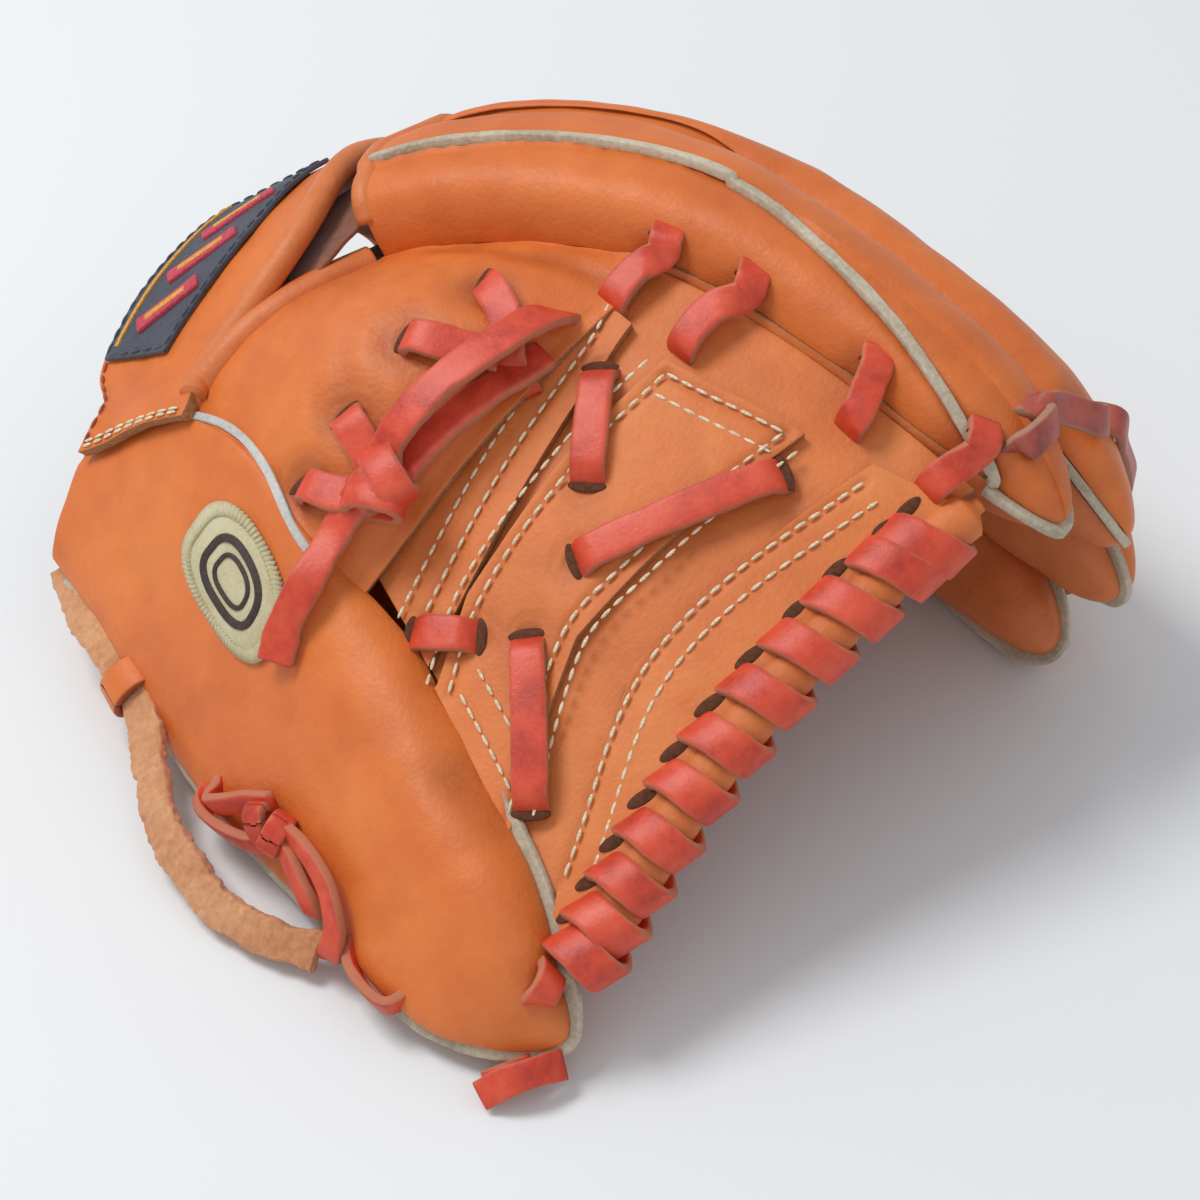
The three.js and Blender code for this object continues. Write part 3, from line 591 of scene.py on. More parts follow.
def grid_piece(name, surface, us, vs, materials, thick=0.0, relief=None, base=0.0, bevel=0.35, shade_gain=1.0):
    """A leather panel on a surface. relief gives a height for each point, and deep places are shaded."""
    bm = bmesh.new()
    bmesh.ops.create_grid(bm, x_segments=len(us) - 1, y_segments=len(vs) - 1, size=1)
    bm.verts.ensure_lookup_table()
    spot = np.array([vert.co[:2] for vert in bm.verts])
    u = np.interp((spot[:, 0] + 1) / 2, np.linspace(0, 1, len(us)), us)
    v = np.interp((spot[:, 1] + 1) / 2, np.linspace(0, 1, len(vs)), vs)
    flat = surface(u, v, base)
    high = surface(u, v, base + 1.0)
    raised = relief(flat, u, v) if relief else np.zeros(len(u))
    points = place(flat + (high - flat) * raised[:, None])
    shade = bm.verts.layers.float.new("shade")
    for vert, point, height in zip(bm.verts, points, raised):
        vert.co = point
        # Painted shade: the deeper a point lies in the relief, the darker its leather is painted.
        vert[shade] = min(1.0, max(0.0, -height * 0.45 * shade_gain))
    outward = high - flat
    bm.normal_update()
    facing = sum(vert.normal.dot(Vector(way)) for vert, way in zip(bm.verts, outward))
    if facing < 0:
        bmesh.ops.reverse_faces(bm, faces=bm.faces)
    bmesh.ops.remove_doubles(bm, verts=bm.verts, dist=0.03 * MM)
    piece = new_object(name, bm, materials)
    if thick:
        solid = piece.modifiers.new("thickness", "SOLIDIFY")
        solid.thickness = thick * MM
        solid.offset = -1
        solid.use_even_offset = False
        if len(materials) > 1:
            solid.material_offset_rim = 1
    if bevel:
        rounded = piece.modifiers.new("edge", "BEVEL")
        rounded.width = bevel * MM
        rounded.segments = 2
        rounded.limit_method = "ANGLE"
        rounded.angle_limit = math.radians(50)
    return piece


def ring(width, thick, count=20, power=0.35):
    """Section of a flat strap: a rectangle with rounded corners, and how far each point is on its side."""
    angle = np.linspace(0, 2 * math.pi, count + 1)
    c, s = np.cos(angle), np.sin(angle)
    x = width / 2 * np.sign(c) * np.abs(c) ** power
    y = thick / 2 * np.sign(s) * np.abs(s) ** power
    return x, y, smooth(np.abs(x), width * 0.45, width * 0.49)


def strap_mesh(bm, centres, ups, width, thick, power=0.35, rough=0.0):
    """Adds a flat strap through the centres, its broad face towards ups."""
    centres, ups = np.asarray(centres, float), np.asarray(ups, float)
    along = unit(np.gradient(centres, axis=0))
    side = unit(np.cross(along, ups))
    up = unit(np.cross(side, along))
    x, y, on_side = ring(width, thick, power=power)
    made = bmesh.new()
    bmesh.ops.create_grid(made, x_segments=len(x) - 1, y_segments=len(centres) - 1, size=1)
    spot = np.array([vert.co[:2] for vert in made.verts])
    i = np.rint((spot[:, 0] + 1) / 2 * (len(x) - 1)).astype(int)
    j = np.rint((spot[:, 1] + 1) / 2 * (len(centres) - 1)).astype(int)
    wobble = 1 + rough * ripple(centres, 11, 5)[j]
    points = centres[j] + side[j] * (x[i] * wobble)[:, None] + up[j] * y[i][:, None]
    layer = made.verts.layers.float.new("shade")
    for vert, point, edge in zip(made.verts, place(points), on_side[i]):
        vert.co = point
        vert[layer] = edge
    bmesh.ops.remove_doubles(made, verts=made.verts, dist=0.01 * MM)
    bmesh.ops.holes_fill(made, edges=[e for e in made.edges if e.is_boundary], sides=0)
    bmesh.ops.recalc_face_normals(made, faces=made.faces)
    join_in(bm, made)


def join_in(bm, made):
    """Moves one mesh under construction into another, with its shade."""
    mesh = bpy.data.meshes.new("part")
    made.to_mesh(mesh)
    made.free()
    bm.from_mesh(mesh)
    bpy.data.meshes.remove(mesh)


def on_surface(key, path, heights=0.0, count=40):
    """Points and up directions along a path of (u, v) places on a surface."""
    uv = catmull(path)(np.linspace(0, 1, count))
    level = np.interp(np.linspace(0, 1, count), np.linspace(0, 1, np.size(heights)), np.atleast_1d(heights))
    low = SURFACE[key](uv[:, 0], uv[:, 1], level)
    return low, unit(SURFACE[key](uv[:, 0], uv[:, 1], level + 1) - low)


def even(points, extra, pitch):
    """The points resampled at an even pitch, with the extra rows carried along."""
    run = np.concatenate([[0], np.cumsum(np.linalg.norm(np.diff(points, axis=0), axis=1))])
    at = np.linspace(0, run[-1], max(3, int(round(run[-1] / pitch)) + 1))
    spread = lambda rows: np.stack([np.interp(at, run, column) for column in rows.T], 1)
    return spread(points), unit(spread(extra))


LACE_THICK = 2.6
DIVE = 5.0  # how far a lace goes down into a hole
DIVE_RUN = 4.5  # and over what length it does so


def through_holes(key, start, end, level, bow=0.8, ends=(True, True)):
    """A visible stretch of lace from hole to hole: it comes up out of one and goes down into the next."""
    points, ups = on_surface(key, [start, lerp(np.array(start), np.array(end), 0.5), end], level)
    points, ups = even(points, ups, 1.2)
    run = np.concatenate([[0], np.cumsum(np.linalg.norm(np.diff(points, axis=0), axis=1))])
    left, right = run, run[-1] - run
    height = LACE_THICK / 2 + 0.2 + bow * np.sin(np.pi * run / run[-1])
    for edge, is_hole in zip((left, right), ends):
        if is_hole:
            height = height - (DIVE + bow) * np.clip(1 - edge / DIVE_RUN, 0, 1) ** 2
    return points + ups * height[:, None], ups


def lace_piece(name, strands, node=None, body="glove", material="lace", width=None):
    return dress(new_lace(name, strands, material, width), body, "lace", node)


def dress(piece, body, slot, *nodes):
    """Puts a piece on its body, in the place of the frame's nodes, which it hides; the slot is not used."""
    if body:
        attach(piece, body)
    nodes = [n for n in nodes if n]
    if nodes:
        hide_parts(*nodes)
    return piece


# The crease between thumb and palm, where leather passes from one body to the other.
CREASE_WAY = np.array([-0.369, -0.558, -0.744])


def bend(piece, start, end):
    """Bakes the piece's transform into its mesh; start and end are distances along the crease's direction, and
    the points made from them are not used.
    """
    middle = np.array([-10.0, 0.0, 80.0])
    base = middle - CREASE_WAY * (middle @ CREASE_WAY)
    points = [Vector(place(base + CREASE_WAY * share)) for share in (start, end)]
    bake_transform(piece)


STITCH_SHARE = 0.8  # how much of its pitch a stitch fills
STITCH_WIDE = 0.85
STITCH_HIGH = 0.42  # of its width
STITCH_SUNK = 0.34


def stitch_rows(name, rows, slot, body="glove", material="thread", wide=STITCH_WIDE, bends=None):
    """Lockstitches along rows of points on the leather, each a short rounded bead of thread."""
    bm = start_mesh()
    pitch = sizes().stitch_pitch / MM
    for points, ups in rows:
        points, ups = even(points, ups, pitch)
        for a, b, up in zip(points[:-1], points[1:], ups):
            middle = (a + b) / 2 + up * wide * STITCH_SUNK
            along = unit(b - a)
            side = unit(np.cross(along, up))
            upright = unit(np.cross(along, side)) * wide * STITCH_HIGH
            columns = [side * wide / 2, upright, along * pitch * STITCH_SHARE / 2]
            turn = Matrix([[columns[c][r] * MM for c in range(3)] for r in range(3)]).to_4x4()
            turn.translation = Vector(place(middle))
            bmesh.ops.create_uvsphere(bm, u_segments=8, v_segments=6, radius=1, matrix=turn)
    bmesh.ops.recalc_face_normals(bm, faces=bm.faces)
    piece = dress(new_object(name, bm, [material]), None if bends else body, slot)
    if bends:
        bend(piece, *bends)
    return piece


def beside(points, ups, offset):
    along = unit(np.gradient(points, axis=0))
    return points + unit(np.cross(along, ups)) * offset, ups


# ---- lace holes and stitch lines, as places on the surfaces ----
FACE_LACES = {
    "face_lace_upper": ((0.713, 0.10), (0.505, 0.27)),
    "face_lace_long": ((0.385, 0.36), (0.79, 0.655)),
    "face_lace_lower": ((0.0, 0.14), (0.135, 0.275)),
    "face_lace_thumb": ((0.222, 0.37), (0.05, 0.655)),
}
CROTCH_HOLES = [(0.77, 0.301), (0.53, 0.297), (0.268, 0.301), (0.07, 0.299)]
# Paths of the web's stitching, each a double row.
WEB_ROWS = {
    "crotch": [(0.86, 0.0), (0.775, 0.03), (0.39, 0.085), (0.02, 0.15)],
    "centre_left": [(0.79, 0.235), (0.53, 0.215), (0.163, 0.23), (0.01, 0.29)],
    "centre_end": [(0.79, 0.235), (0.845, 0.575)],
    "centre_right": [(0.845, 0.575), (0.487, 0.49), (0.3, 0.45), (0.15, 0.51), (0.01, 0.6)],
    "top": [(0.875, 0.83), (0.356, 0.712), (0.05, 0.863)],
}
INDEX_TIES = [0.0, 0.216, 0.683, 0.97]  # where laces tie the web to the index finger, along its edge
INDEX_TIE_STARTS = [0.86, 0.85, 0.93, 0.93]
INDEX_TIE_ENDS = [(-1.0, 0.415), (-1.0, 0.535), (-1.0, 0.712), (-0.995, 0.865)]
WRAPS_AT = [0.86, 0.8, 0.7, 0.6, 0.5, 0.4, 0.31, 0.22, 0.14, 0.07, 0.012]
INDEX_SEAM = [(0.13, 0.152), (0.075, 0.308), (-0.012, 0.449), (-0.25, 0.57)]
INDEX_SEAM += [(-0.55, 0.69), (-0.78, 0.78), (-0.93, 0.85), (-1.0, 0.91)]
BAND_TOP = 2.9  # how far the web's bands stand over its base


def seam_groove(surface, path, width, depth, height=0.0):
    """Relief for a grid: a groove along a path of places on its surface."""
    line = surface(*catmull(path)(np.linspace(0, 1, 90)).T, height)

    def relief(points):
        near = np.min(np.linalg.norm(points[:, None] - line[None], axis=2), axis=1)
        return -depth * np.exp(-((near / width) ** 2))

    return relief


def relief_of(seed, rough=0.25, size=26, holes=(), grooves=(), radius=6.0, depth=1.1):
    """Relief for a leather panel: soft unevenness, dents round lace holes and grooves along seams."""

    def relief(points, u, v):
        total = rough * ripple(points, size, seed)
        if len(holes):
            near = dent(points, np.array(holes), radius, 1.0)
            rings = np.array([np.linalg.norm(points - hole, axis=1) for hole in holes]).min(0)
            total -= depth * near
            total += 0.16 * near * np.sin(rings * 2.2 + 2 * ripple(points, 14, seed + 3))
        for groove in grooves:
            total += groove(points)
        return total

    return relief


def stall_rows(start):
    tip = ROUND_FROM + (1 - ROUND_FROM) * np.sin(np.linspace(0, math.pi / 2, 36))
    return np.concatenate([np.linspace(start, ROUND_FROM, 80)[:-1], tip])


ACROSS = np.cos(np.linspace(math.pi, 0, 49))


def spots(key, places, height=0.0):
    return [SURFACE[key](*np.array(place_at, float), height) for place_at in places]


def run_points(key, path, height=0.0, count=90):
    return on_surface(key, path, height, count)


HOLE_HALF = (1.5, 4.3, 0.42)  # half sizes of a punched slot: along the lace, across it and up
HOLE_SUNK = 0.3


def hole_marks(name, marks, body="glove", bends=None):
    """Painted shade in punched slots round laces on a surface. A mark is a key, a place, a way along the lace
    and a level.
    """
    spaces = []
    for key, at, way, level in marks:
        centre, up = spot_up(key, at, level)
        to = SURFACE[key](*(np.array(at, float) + 0.02 * unit(np.array(way, float))), level)
        spaces.append((centre, up, to - centre))
    return slot_marks(name, spaces, body, bends)


def slot_marks(name, marks, body="glove", bends=None):
    """Painted shade in punched slots: flat dark ovals just over the leather. A mark is a centre, an up and a
    way along.
    """
    bm = bmesh.new()
    for centre, up, way in marks:
        along = unit(way - up * (way @ up))
        side = np.cross(up, along)
        columns = [way * half for way, half in zip((along, side, up), HOLE_HALF)]
        turn = Matrix([[c[r] * MM for c in columns] for r in range(3)]).to_4x4()
        turn.translation = Vector(place(centre - up * HOLE_SUNK))
        bmesh.ops.create_uvsphere(bm, u_segments=20, v_segments=8, radius=1, matrix=turn)
    bmesh.ops.recalc_face_normals(bm, faces=bm.faces)
    piece = dress(new_object(name, bm, ["hole"]), None if bends else body, "lace")
    if bends:
        bend(piece, *bends)
    return piece


def tube_mesh(bm, centres, radii, ups, flat=1.0, sides=16):
    """Adds a round or oval tube through the centres."""
    centres, ups = np.asarray(centres, float), np.asarray(ups, float)
    radii = np.broadcast_to(radii, len(centres))
    along = unit(np.gradient(centres, axis=0))
    side = unit(np.cross(along, ups))
    up = np.cross(side, along)
    made = bmesh.new()
    bmesh.ops.create_grid(made, x_segments=sides, y_segments=len(centres) - 1, size=1)
    spot = np.array([vert.co[:2] for vert in made.verts])
    angle = (spot[:, 0] + 1) * math.pi
    j = np.rint((spot[:, 1] + 1) / 2 * (len(centres) - 1)).astype(int)
    out = side[j] * np.cos(angle)[:, None] + up[j] * (np.sin(angle) * flat)[:, None]
    made.verts.layers.float.new("shade")
    for vert, point in zip(made.verts, place(centres[j] + out * radii[j][:, None])):
        vert.co = point
    bmesh.ops.remove_doubles(made, verts=made.verts, dist=0.01 * MM)
    bmesh.ops.holes_fill(made, edges=[e for e in made.edges if e.is_boundary], sides=0)
    bmesh.ops.recalc_face_normals(made, faces=made.faces)
    join_in(bm, made)


def tube_piece(name, material, *tube):
    """A piece that is one tube. What follows the material is what tube_mesh takes."""
    bm = start_mesh()
    tube_mesh(bm, *tube)
    return new_object(name, bm, [material])


def baked(piece):
    """The piece's modifiers made part of its mesh."""
    depsgraph = bpy.context.evaluated_depsgraph_get()
    mesh = bpy.data.meshes.new_from_object(piece.evaluated_get(depsgraph))
    piece.modifiers.clear()
    old = piece.data
    piece.data = mesh
    bpy.data.meshes.remove(old)
    return piece


def bent(piece, slot, reach, *nodes):
    """A piece that crosses the crease: its modifiers and transform baked into its mesh and the frame's nodes
    hidden; the slot is not used.
    """
    baked(piece)
    bend(piece, *reach)
    if nodes:
        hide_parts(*nodes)
    return piece


# Distances along the crease's direction handed to each kind of piece's bend, which only bakes its transform.
WEB_BEND = (-80.0, -8.0)
CROTCH_BEND = (-75.0, -10.0)
PALM_BEND = (-25.0, 5.0)
TIE_BEND = (-30.0, -8.0)


def make_backs():
    holes = {
        "index": spots("index", INDEX_TIE_ENDS),
        "thumb": spots("thumb", [(0.988, 0.92), (0.95, 0.62)]),
        "middle": spots("middle", [(-0.55, 0.85)]),
    }
    for seed, name in enumerate(STALLS):
        start = 0.0 if name == "thumb" else BACKS_FROM - 0.02
        grooves = []
        if name == "index":
            grooves.append(seam_groove(index_back, INDEX_SEAM, 1.9, 1.5))
        if name == "thumb":
            grooves.append(seam_groove(back_of("thumb"), [(0.45, 0.0), (1.0, 0.125)], 1.5, 0.7))
        relief = relief_of(seed + 11, 0.3, 30, holes.get(name, ()), grooves, 7.0)
        rows, looks = stall_rows(start), ["back", "edge"]
        piece = grid_piece(name + "_back_leather", back_of(name), ACROSS, rows, looks, LEATHER, relief)
        dress(piece, "thumb" if name == "thumb" else "glove", "back_leather", name + "_back")


index_back = back_of("index")


def valley(left, right):
    """The leather let in between two neighbouring fingers' backs, as a surface across (p) and along (t)."""

    def surface(p, t, height):
        p, t, height = np.broadcast_arrays(*(np.asarray(x, float) for x in (p, t, height)))
        near, far = (stall_point(n, 1, a, t, height - 0.8) for n, a in ((left, 1.0), (right, -1.0)))
        up = strip(RAIL[STALLS[left][0]], RAIL[STALLS[right][1]], t)[4]
        rows = [stall_point(left, 1, 0.9, t, height - 0.7), near, (near + far) / 2 - up * 1.6, far]
        rows.append(stall_point(right, 1, -0.9, t, height - 0.7))
        k = p[..., None] * 4
        return sum(row * np.maximum(0, 1 - np.abs(k - i)) for i, row in enumerate(rows))

    return surface


def make_valleys():
    for left, right in zip(FINGERS[:-1], FINGERS[1:]):
        p, t = np.linspace(0, 1, 17), np.linspace(BACKS_FROM - 0.015, 0.7, 80)
        name = left + "_to_" + right + "_valley"
        piece = grid_piece(name, valley(left, right), p, t, ["back", "edge"], 2.0, relief_of(21, 0.2, 30))
        dress(piece, "glove", "back_leather")
    centres, ups = [], []
    for name in FINGERS:
        a = np.linspace(-0.93, 0.93, 14)
        points = stall_point(name, 1, a, BACKS_FROM - 0.02, -1.4)
        centres.append(points)
        ups.append(unit(stall_point(name, 1, a, BACKS_FROM - 0.02, 3.0) - points))
    points, ups = even(np.concatenate(centres), np.concatenate(ups), 1.5)
    dress(tube_piece("hand_opening_rim", "palm", points, 2.9, ups, 0.9, 14), "glove", "back_leather")


def make_palm():
    s = np.linspace(0, 1, 150)
    t = np.linspace(0, HAND_END + 0.05, 60)
    relief = relief_of(31, 0.35, 34)
    palm = grid_piece("palm_sheet", palm_point, s, t, ["palm", "edge"], PALM_LEATHER, relief, base=-0.6)
    bent(palm, "palm_leather", PALM_BEND, "palm_leather")
    for seed, name in enumerate(STALLS):
        start = 0.0 if name == "thumb" else HAND_END
        relief = relief_of(seed + 41, 0.3, 28)
        key, rows, looks = name + "_front", stall_rows(start), ["palm", "edge"]
        piece = grid_piece(key + "_leather", SURFACE[key], ACROSS, rows, looks, PALM_LEATHER, relief)
        if name == "thumb":
            dress(piece, "thumb", "palm_leather", "thumb_front")
        else:
            dress(piece, "glove", "palm_leather")


def band_surface(lower, upper, left, right):
    """A band of the web between two edges; p runs from thumb to index, q from crotch to free edge."""

    def surface(p, q, height):
        u = lerp(lerp(left[0], left[1], q), lerp(right[0], right[1], q), p)
        low, high = (np.interp(u, *np.array(edge).T) for edge in (lower, upper))
        return web_point(u, lerp(low, high, q), height)

    return surface


# name: lower edge and upper edge as (u, v) places, then where the band starts and ends across the web
BANDS = {
    "web_crotch_strip": (
        [(0, -0.06), (1, -0.14)],
        [(0, 0.215), (0.8, 0.085), (1, 0.06)],
        (0.0, 0.0),
        (0.88, 0.84),
    ),
    "web_centre_panel": (
        [(0, 0.255), (0.16, 0.195), (0.53, 0.18), (0.8, 0.205), (1, 0.22)],
        [(0, 0.625), (0.15, 0.55), (0.3, 0.49), (0.487, 0.525), (0.845, 0.61), (1, 0.64)],
        (-0.01, -0.01),
        (0.815, 0.87),
    ),
    "web_top_strip": (
        [(0, 0.9), (0.05, 0.835), (0.356, 0.68), (0.863, 0.795), (1, 0.83)],
        [(0, 1.055), (1, 1.055)],
        (0.0, 0.0),
        (0.91, 0.955),
    ),
}


def make_web():
    laces = [spot for pair in FACE_LACES.values() for spot in pair]
    holes = spots("web", laces, BAND_TOP)
    u, v = np.linspace(0, 1, 90), np.linspace(-0.1, 1.04, 114)
    relief = relief_of(51, 0.25, 24, holes, radius=5.0, depth=0.5)
    base = grid_piece("web_base_leather", web_point, u, v, ["web", "edge"], WEB_LEATHER, relief)
    bent(base, "web_leather", WEB_BEND, "web_base")
    for seed, (name, edges) in enumerate(BANDS.items()):
        surface = band_surface(*edges)
        p, q = np.linspace(0, 1, 110), np.linspace(0, 1, 56)
        relief = relief_of(61 + seed, 0.14, 24, holes, web_stitch_grooves(), radius=5.0, depth=0.9)
        looks, name_of = ["web", "edge"], name + "_leather"
        band = grid_piece(name_of, surface, p, q, looks, BAND_LEATHER, relief, base=BAND_TOP, bevel=0.5)
        bent(band, "web_leather", WEB_BEND, name)
    rows = []
    for path in WEB_ROWS.values():
        points, ups = run_points("web", path, BAND_TOP + 0.1)
        apart = ROW_GAP if path[0][1] < 0.3 else -ROW_GAP
        rows += [beside(points, ups, 0.0), beside(points, ups, apart)]
    for u in (0.035, 0.095):
        rows.append(run_points("web", [(u, 0.31), (u, 0.45), (u, 0.57)], BAND_TOP + 0.1))
    stitch_rows("web_stitches", rows, "web_leather", bends=WEB_BEND)


ROW_GAP = 5.2  # between the two rows of a double seam


def web_stitch_grooves():
    return [seam_groove(web_point, path, 1.3, 0.5, BAND_TOP) for path in WEB_ROWS.values()]


def make_web_laces():
    marks = []
    for name, (start, end) in FACE_LACES.items():
        strand = through_holes("web", start, end, BAND_TOP)
        piece = new_lace(name + "_strand", [strand])
        bent(piece, "lace", WEB_BEND, name)
        way = np.subtract(end, start)
        marks += [("web", start, way, BAND_TOP), ("web", end, way, BAND_TOP)]
    # Painted shade of the holes that the face laces go through.
    hole_marks("web_lace_hole_shade", marks, "glove", WEB_BEND)


def new_lace(name, strands, material="lace", width=None, thick=LACE_THICK, rough=0.05):
    """A piece made of flat strands, each a run of points with its up directions."""
    bm = start_mesh()
    width = width or sizes().lace_width / MM
    for points, ups in strands:
        strap_mesh(bm, points, ups, width, thick, rough=rough)
    return new_object(name, bm, [material])


def edge_frame(u):
    """The middle of the roll along the web's free edge, with its outward, upward and along directions."""
    u = np.asarray(u, float)
    rim = web_point(u, 1.0, 0.0)
    out = unit(rim - web_point(u, 0.9, 0.0))
    up = unit(web_point(u, 1.0, 10.0) - rim)
    up = unit(up - out * np.sum(out * up, -1, keepdims=True))
    along = unit(web_point(np.clip(u + 0.02, 0, 1.1), 1.0, 0.0) - web_point(u - 0.02, 1.0, 0.0))
    return rim + out * 6.3, out, up, along


ROLL_WIDE = 5.6
ROLL_HIGH = 4.6


def make_edge():
    u = np.linspace(0.0, 0.985, 220)
    centre, out, up, _ = edge_frame(u)
    pinch = np.max([np.exp(-(((u - at) / 0.022) ** 2)) for at in WRAPS_AT], axis=0)
    swell = 0.86 + 0.14 * (1 - pinch)
    taper = np.clip(np.minimum(u, 0.985 - u) / 0.03, 0.35, 1)
    radii = ROLL_WIDE * swell * taper
    roll = tube_piece("web_roll_leather", "web", centre, radii, up, ROLL_HIGH / ROLL_WIDE, 20)
    bent(roll, "web_leather", WEB_BEND, "web_edge_roll")
    strands, marks = [], []
    for at in WRAPS_AT:
        centre, out, up, along = edge_frame(at)
        marks.append((centre - out * 8.2 + up * 3.1 + along * 3.2, up, out))
        angle = np.linspace(-0.42 * math.pi, 1.3 * math.pi, 30)
        reach = np.where(np.cos(angle) < 0, 8.5, ROLL_WIDE + 1.5)
        lean = (angle / math.pi - 0.5) * -7.0
        wide = out * (np.cos(angle) * reach)[:, None]
        tall = up * (np.sin(angle) * (ROLL_HIGH + 1.4))[:, None]
        points = centre + wide + tall + along * lean[:, None]
        radial = unit(wide / reach[:, None] ** 2 + tall / (ROLL_HIGH + 1.4) ** 2)
        strands.append((points, radial))
    piece = new_lace("web_edge_wraps", strands, width=sizes().lace_width / MM * 1.08)
    bent(piece, "lace", WEB_BEND, "web_edge_lace")
    # Painted shade of the holes at the wraps' starts.
    slot_marks("web_edge_hole_shade", marks, "glove", WEB_BEND)


def spline_between(points, ups, count=40):
    k = np.linspace(0, 1, count)
    return catmull(points)(k), unit(catmull(ups)(k))


def spot_up(key, at, height):
    point = SURFACE[key](*np.array(at, float), height)
    return point, unit(SURFACE[key](*np.array(at, float), height + 1) - point)


def strand_over(spots_on, count=40):
    """A strand through places given as (surface, place, height)."""
    pairs = [spot_up(*place_at) for place_at in spots_on]
    points, ups = spline_between([p for p, _ in pairs], [u for _, u in pairs], count)
    return even(points, ups, 1.0)


def on(key, *places):
    """Places on one surface for a strand to pass over, each given as across, along and height."""
    return [(key, (across, along), height) for across, along, height in places]


def make_index_ties():
    strands, marks = [], []
    for u, v, end in zip(INDEX_TIE_STARTS, INDEX_TIES, INDEX_TIE_ENDS):
        path = on("web", (u, v, -3.0), (u + 0.012, v, BAND_TOP + 0.4), (0.96, v, BAND_TOP + 2.4))
        high, out = spot_up("index", end, 2.0)
        up = strip(*STALL["index"][:2], np.array(end[1]))[4]
        start = [spot_up(*place_at) for place_at in path]
        ends = [(high + up * 4.0, out), (high + up * 6.5 - out * 0.8, out), (high + up * 8.0 - out * 6, out)]
        points, ups = spline_between([p for p, _ in start + ends], [n for _, n in start + ends])
        strands.append(even(points, ups, 1.0))
        marks.append((high + up * 6.8 - out * 2.0, out, up))
    lace_piece("web_index_ties", strands, "web_index_lace", width=7.4)
    # Painted shade of the holes that the ties go through.
    slot_marks("index_tie_hole_shade", marks)
    under = on("web", *((0.06 + 0.03 * (-1) ** i, v, -4.4) for i, v in enumerate(np.linspace(0.06, 0.94, 7))))
    piece = new_lace("web_thumb_ties", [strand_over(under, 120)], "lace", 6.5)
    bent(piece, "lace", TIE_BEND, "web_thumb_lace")


def make_crotch():
    u, t = np.linspace(-0.02, 1.02, 100), np.linspace(CROTCH_FROM, CROTCH_TO + 0.015, 80)
    holes = spots("crotch", CROTCH_HOLES)
    grooves = [seam_groove(crotch_point, [(0.96, 0.2), (0.93, 0.3), (0.9, 0.4)], 3.0, 0.8)]
    relief = relief_of(71, 0.35, 24, holes, grooves, 7.5, 1.8)
    panel = grid_piece("crotch_leather", crotch_point, u, t, ["back", "edge"], 3.0, relief)
    bent(panel, "back_leather", CROTCH_BEND, "crotch_panel")
    path = [(-0.01, 0.15), (0.013, 0.212), (-0.02, 0.3), (-0.033, 0.36), (-0.03, 0.4)]
    piece = new_lace("crotch_welt", [run_points("crotch", path, 0.3)], "pale_welt", 2.0, 1.8, 0.06)
    bent(piece, "welt", CROTCH_BEND)


def make_crotch_lace():
    short = [
        [(0.77, 0.30, -4), (0.765, 0.312, 2.2), (0.7, 0.35, 3.2), (0.6, 0.385, 2.6), (0.56, 0.41, -3)],
        [(0.53, 0.296, -4), (0.535, 0.308, 2.2), (0.57, 0.35, 3.6), (0.6, 0.38, 5.0)],
        [(0.268, 0.30, -4), (0.265, 0.312, 2.4), (0.235, 0.345, 3.4), (0.2, 0.375, 4.0)],
        [(0.06, 0.30, -4), (0.075, 0.312, 2.4), (0.12, 0.35, 4.2), (0.19, 0.378, 5.5)],
    ]
    over_dome = [(0.72, 0.385, 7.0), (0.6, 0.38, 9.5), (0.42, 0.368, 9.0)]
    over_dome += [(0.26, 0.366, 6.5), (0.19, 0.385, 4.0)]
    under_it = [(0.66, 0.405, 2.0), (0.5, 0.395, 4.5), (0.34, 0.385, 4.5), (0.22, 0.385, 4.5)]
    tail = on("crotch", (0.21, 0.375, 5.0), (0.14, 0.37, 6.5), (0.05, 0.368, 5.0))
    tail += on("thumb", (0.78, 0.385, 5.0), (0.55, 0.395, 3.4), (0.34, 0.41, 3.0))
    strands = [strand_over(on("crotch", *places)) for places in short]
    long = (on("web", (0.8, -0.06, -1.0)) + on("crotch", *over_dome), on("crotch", *under_it), tail)
    strands += [strand_over(path, 60) for path in long]
    centre, up = spot_up("crotch", (0.19, 0.378), 6.5)
    ahead, _ = spot_up("crotch", (0.3, 0.37), 6.5)
    along = unit(ahead - centre)
    strands += loops_round(centre, along, up, [(0.35, 6.4, -3.0), (-0.5, 6.8, 3.2), (1.2, 5.6, 0.0)])
    piece = new_lace("crotch_lace_and_knot", strands, rough=0.09)
    bent(piece, "lace", CROTCH_BEND, "crotch_lace")
    # Painted shade of the crotch lace's holes.
    marks = [("crotch", at, (0, 1), 0.0) for at in CROTCH_HOLES]
    hole_marks("crotch_lace_hole_shade", marks, "glove", CROTCH_BEND)


def strap_band(p, q, height):
    """The strap, wider where it lies beside the crotch and cut off at a slant over the thumb."""
    p, q, height = np.broadcast_arrays(*(np.asarray(x, float) for x in (p, q, height)))
    top = lerp(0.142, STRAP_TO + 0.004, smooth(p, 0.22, 0.5))
    return strap_point(lerp(0.19 * q, 1.0, p), top * q, height)


SURFACE["strap_band"] = strap_band


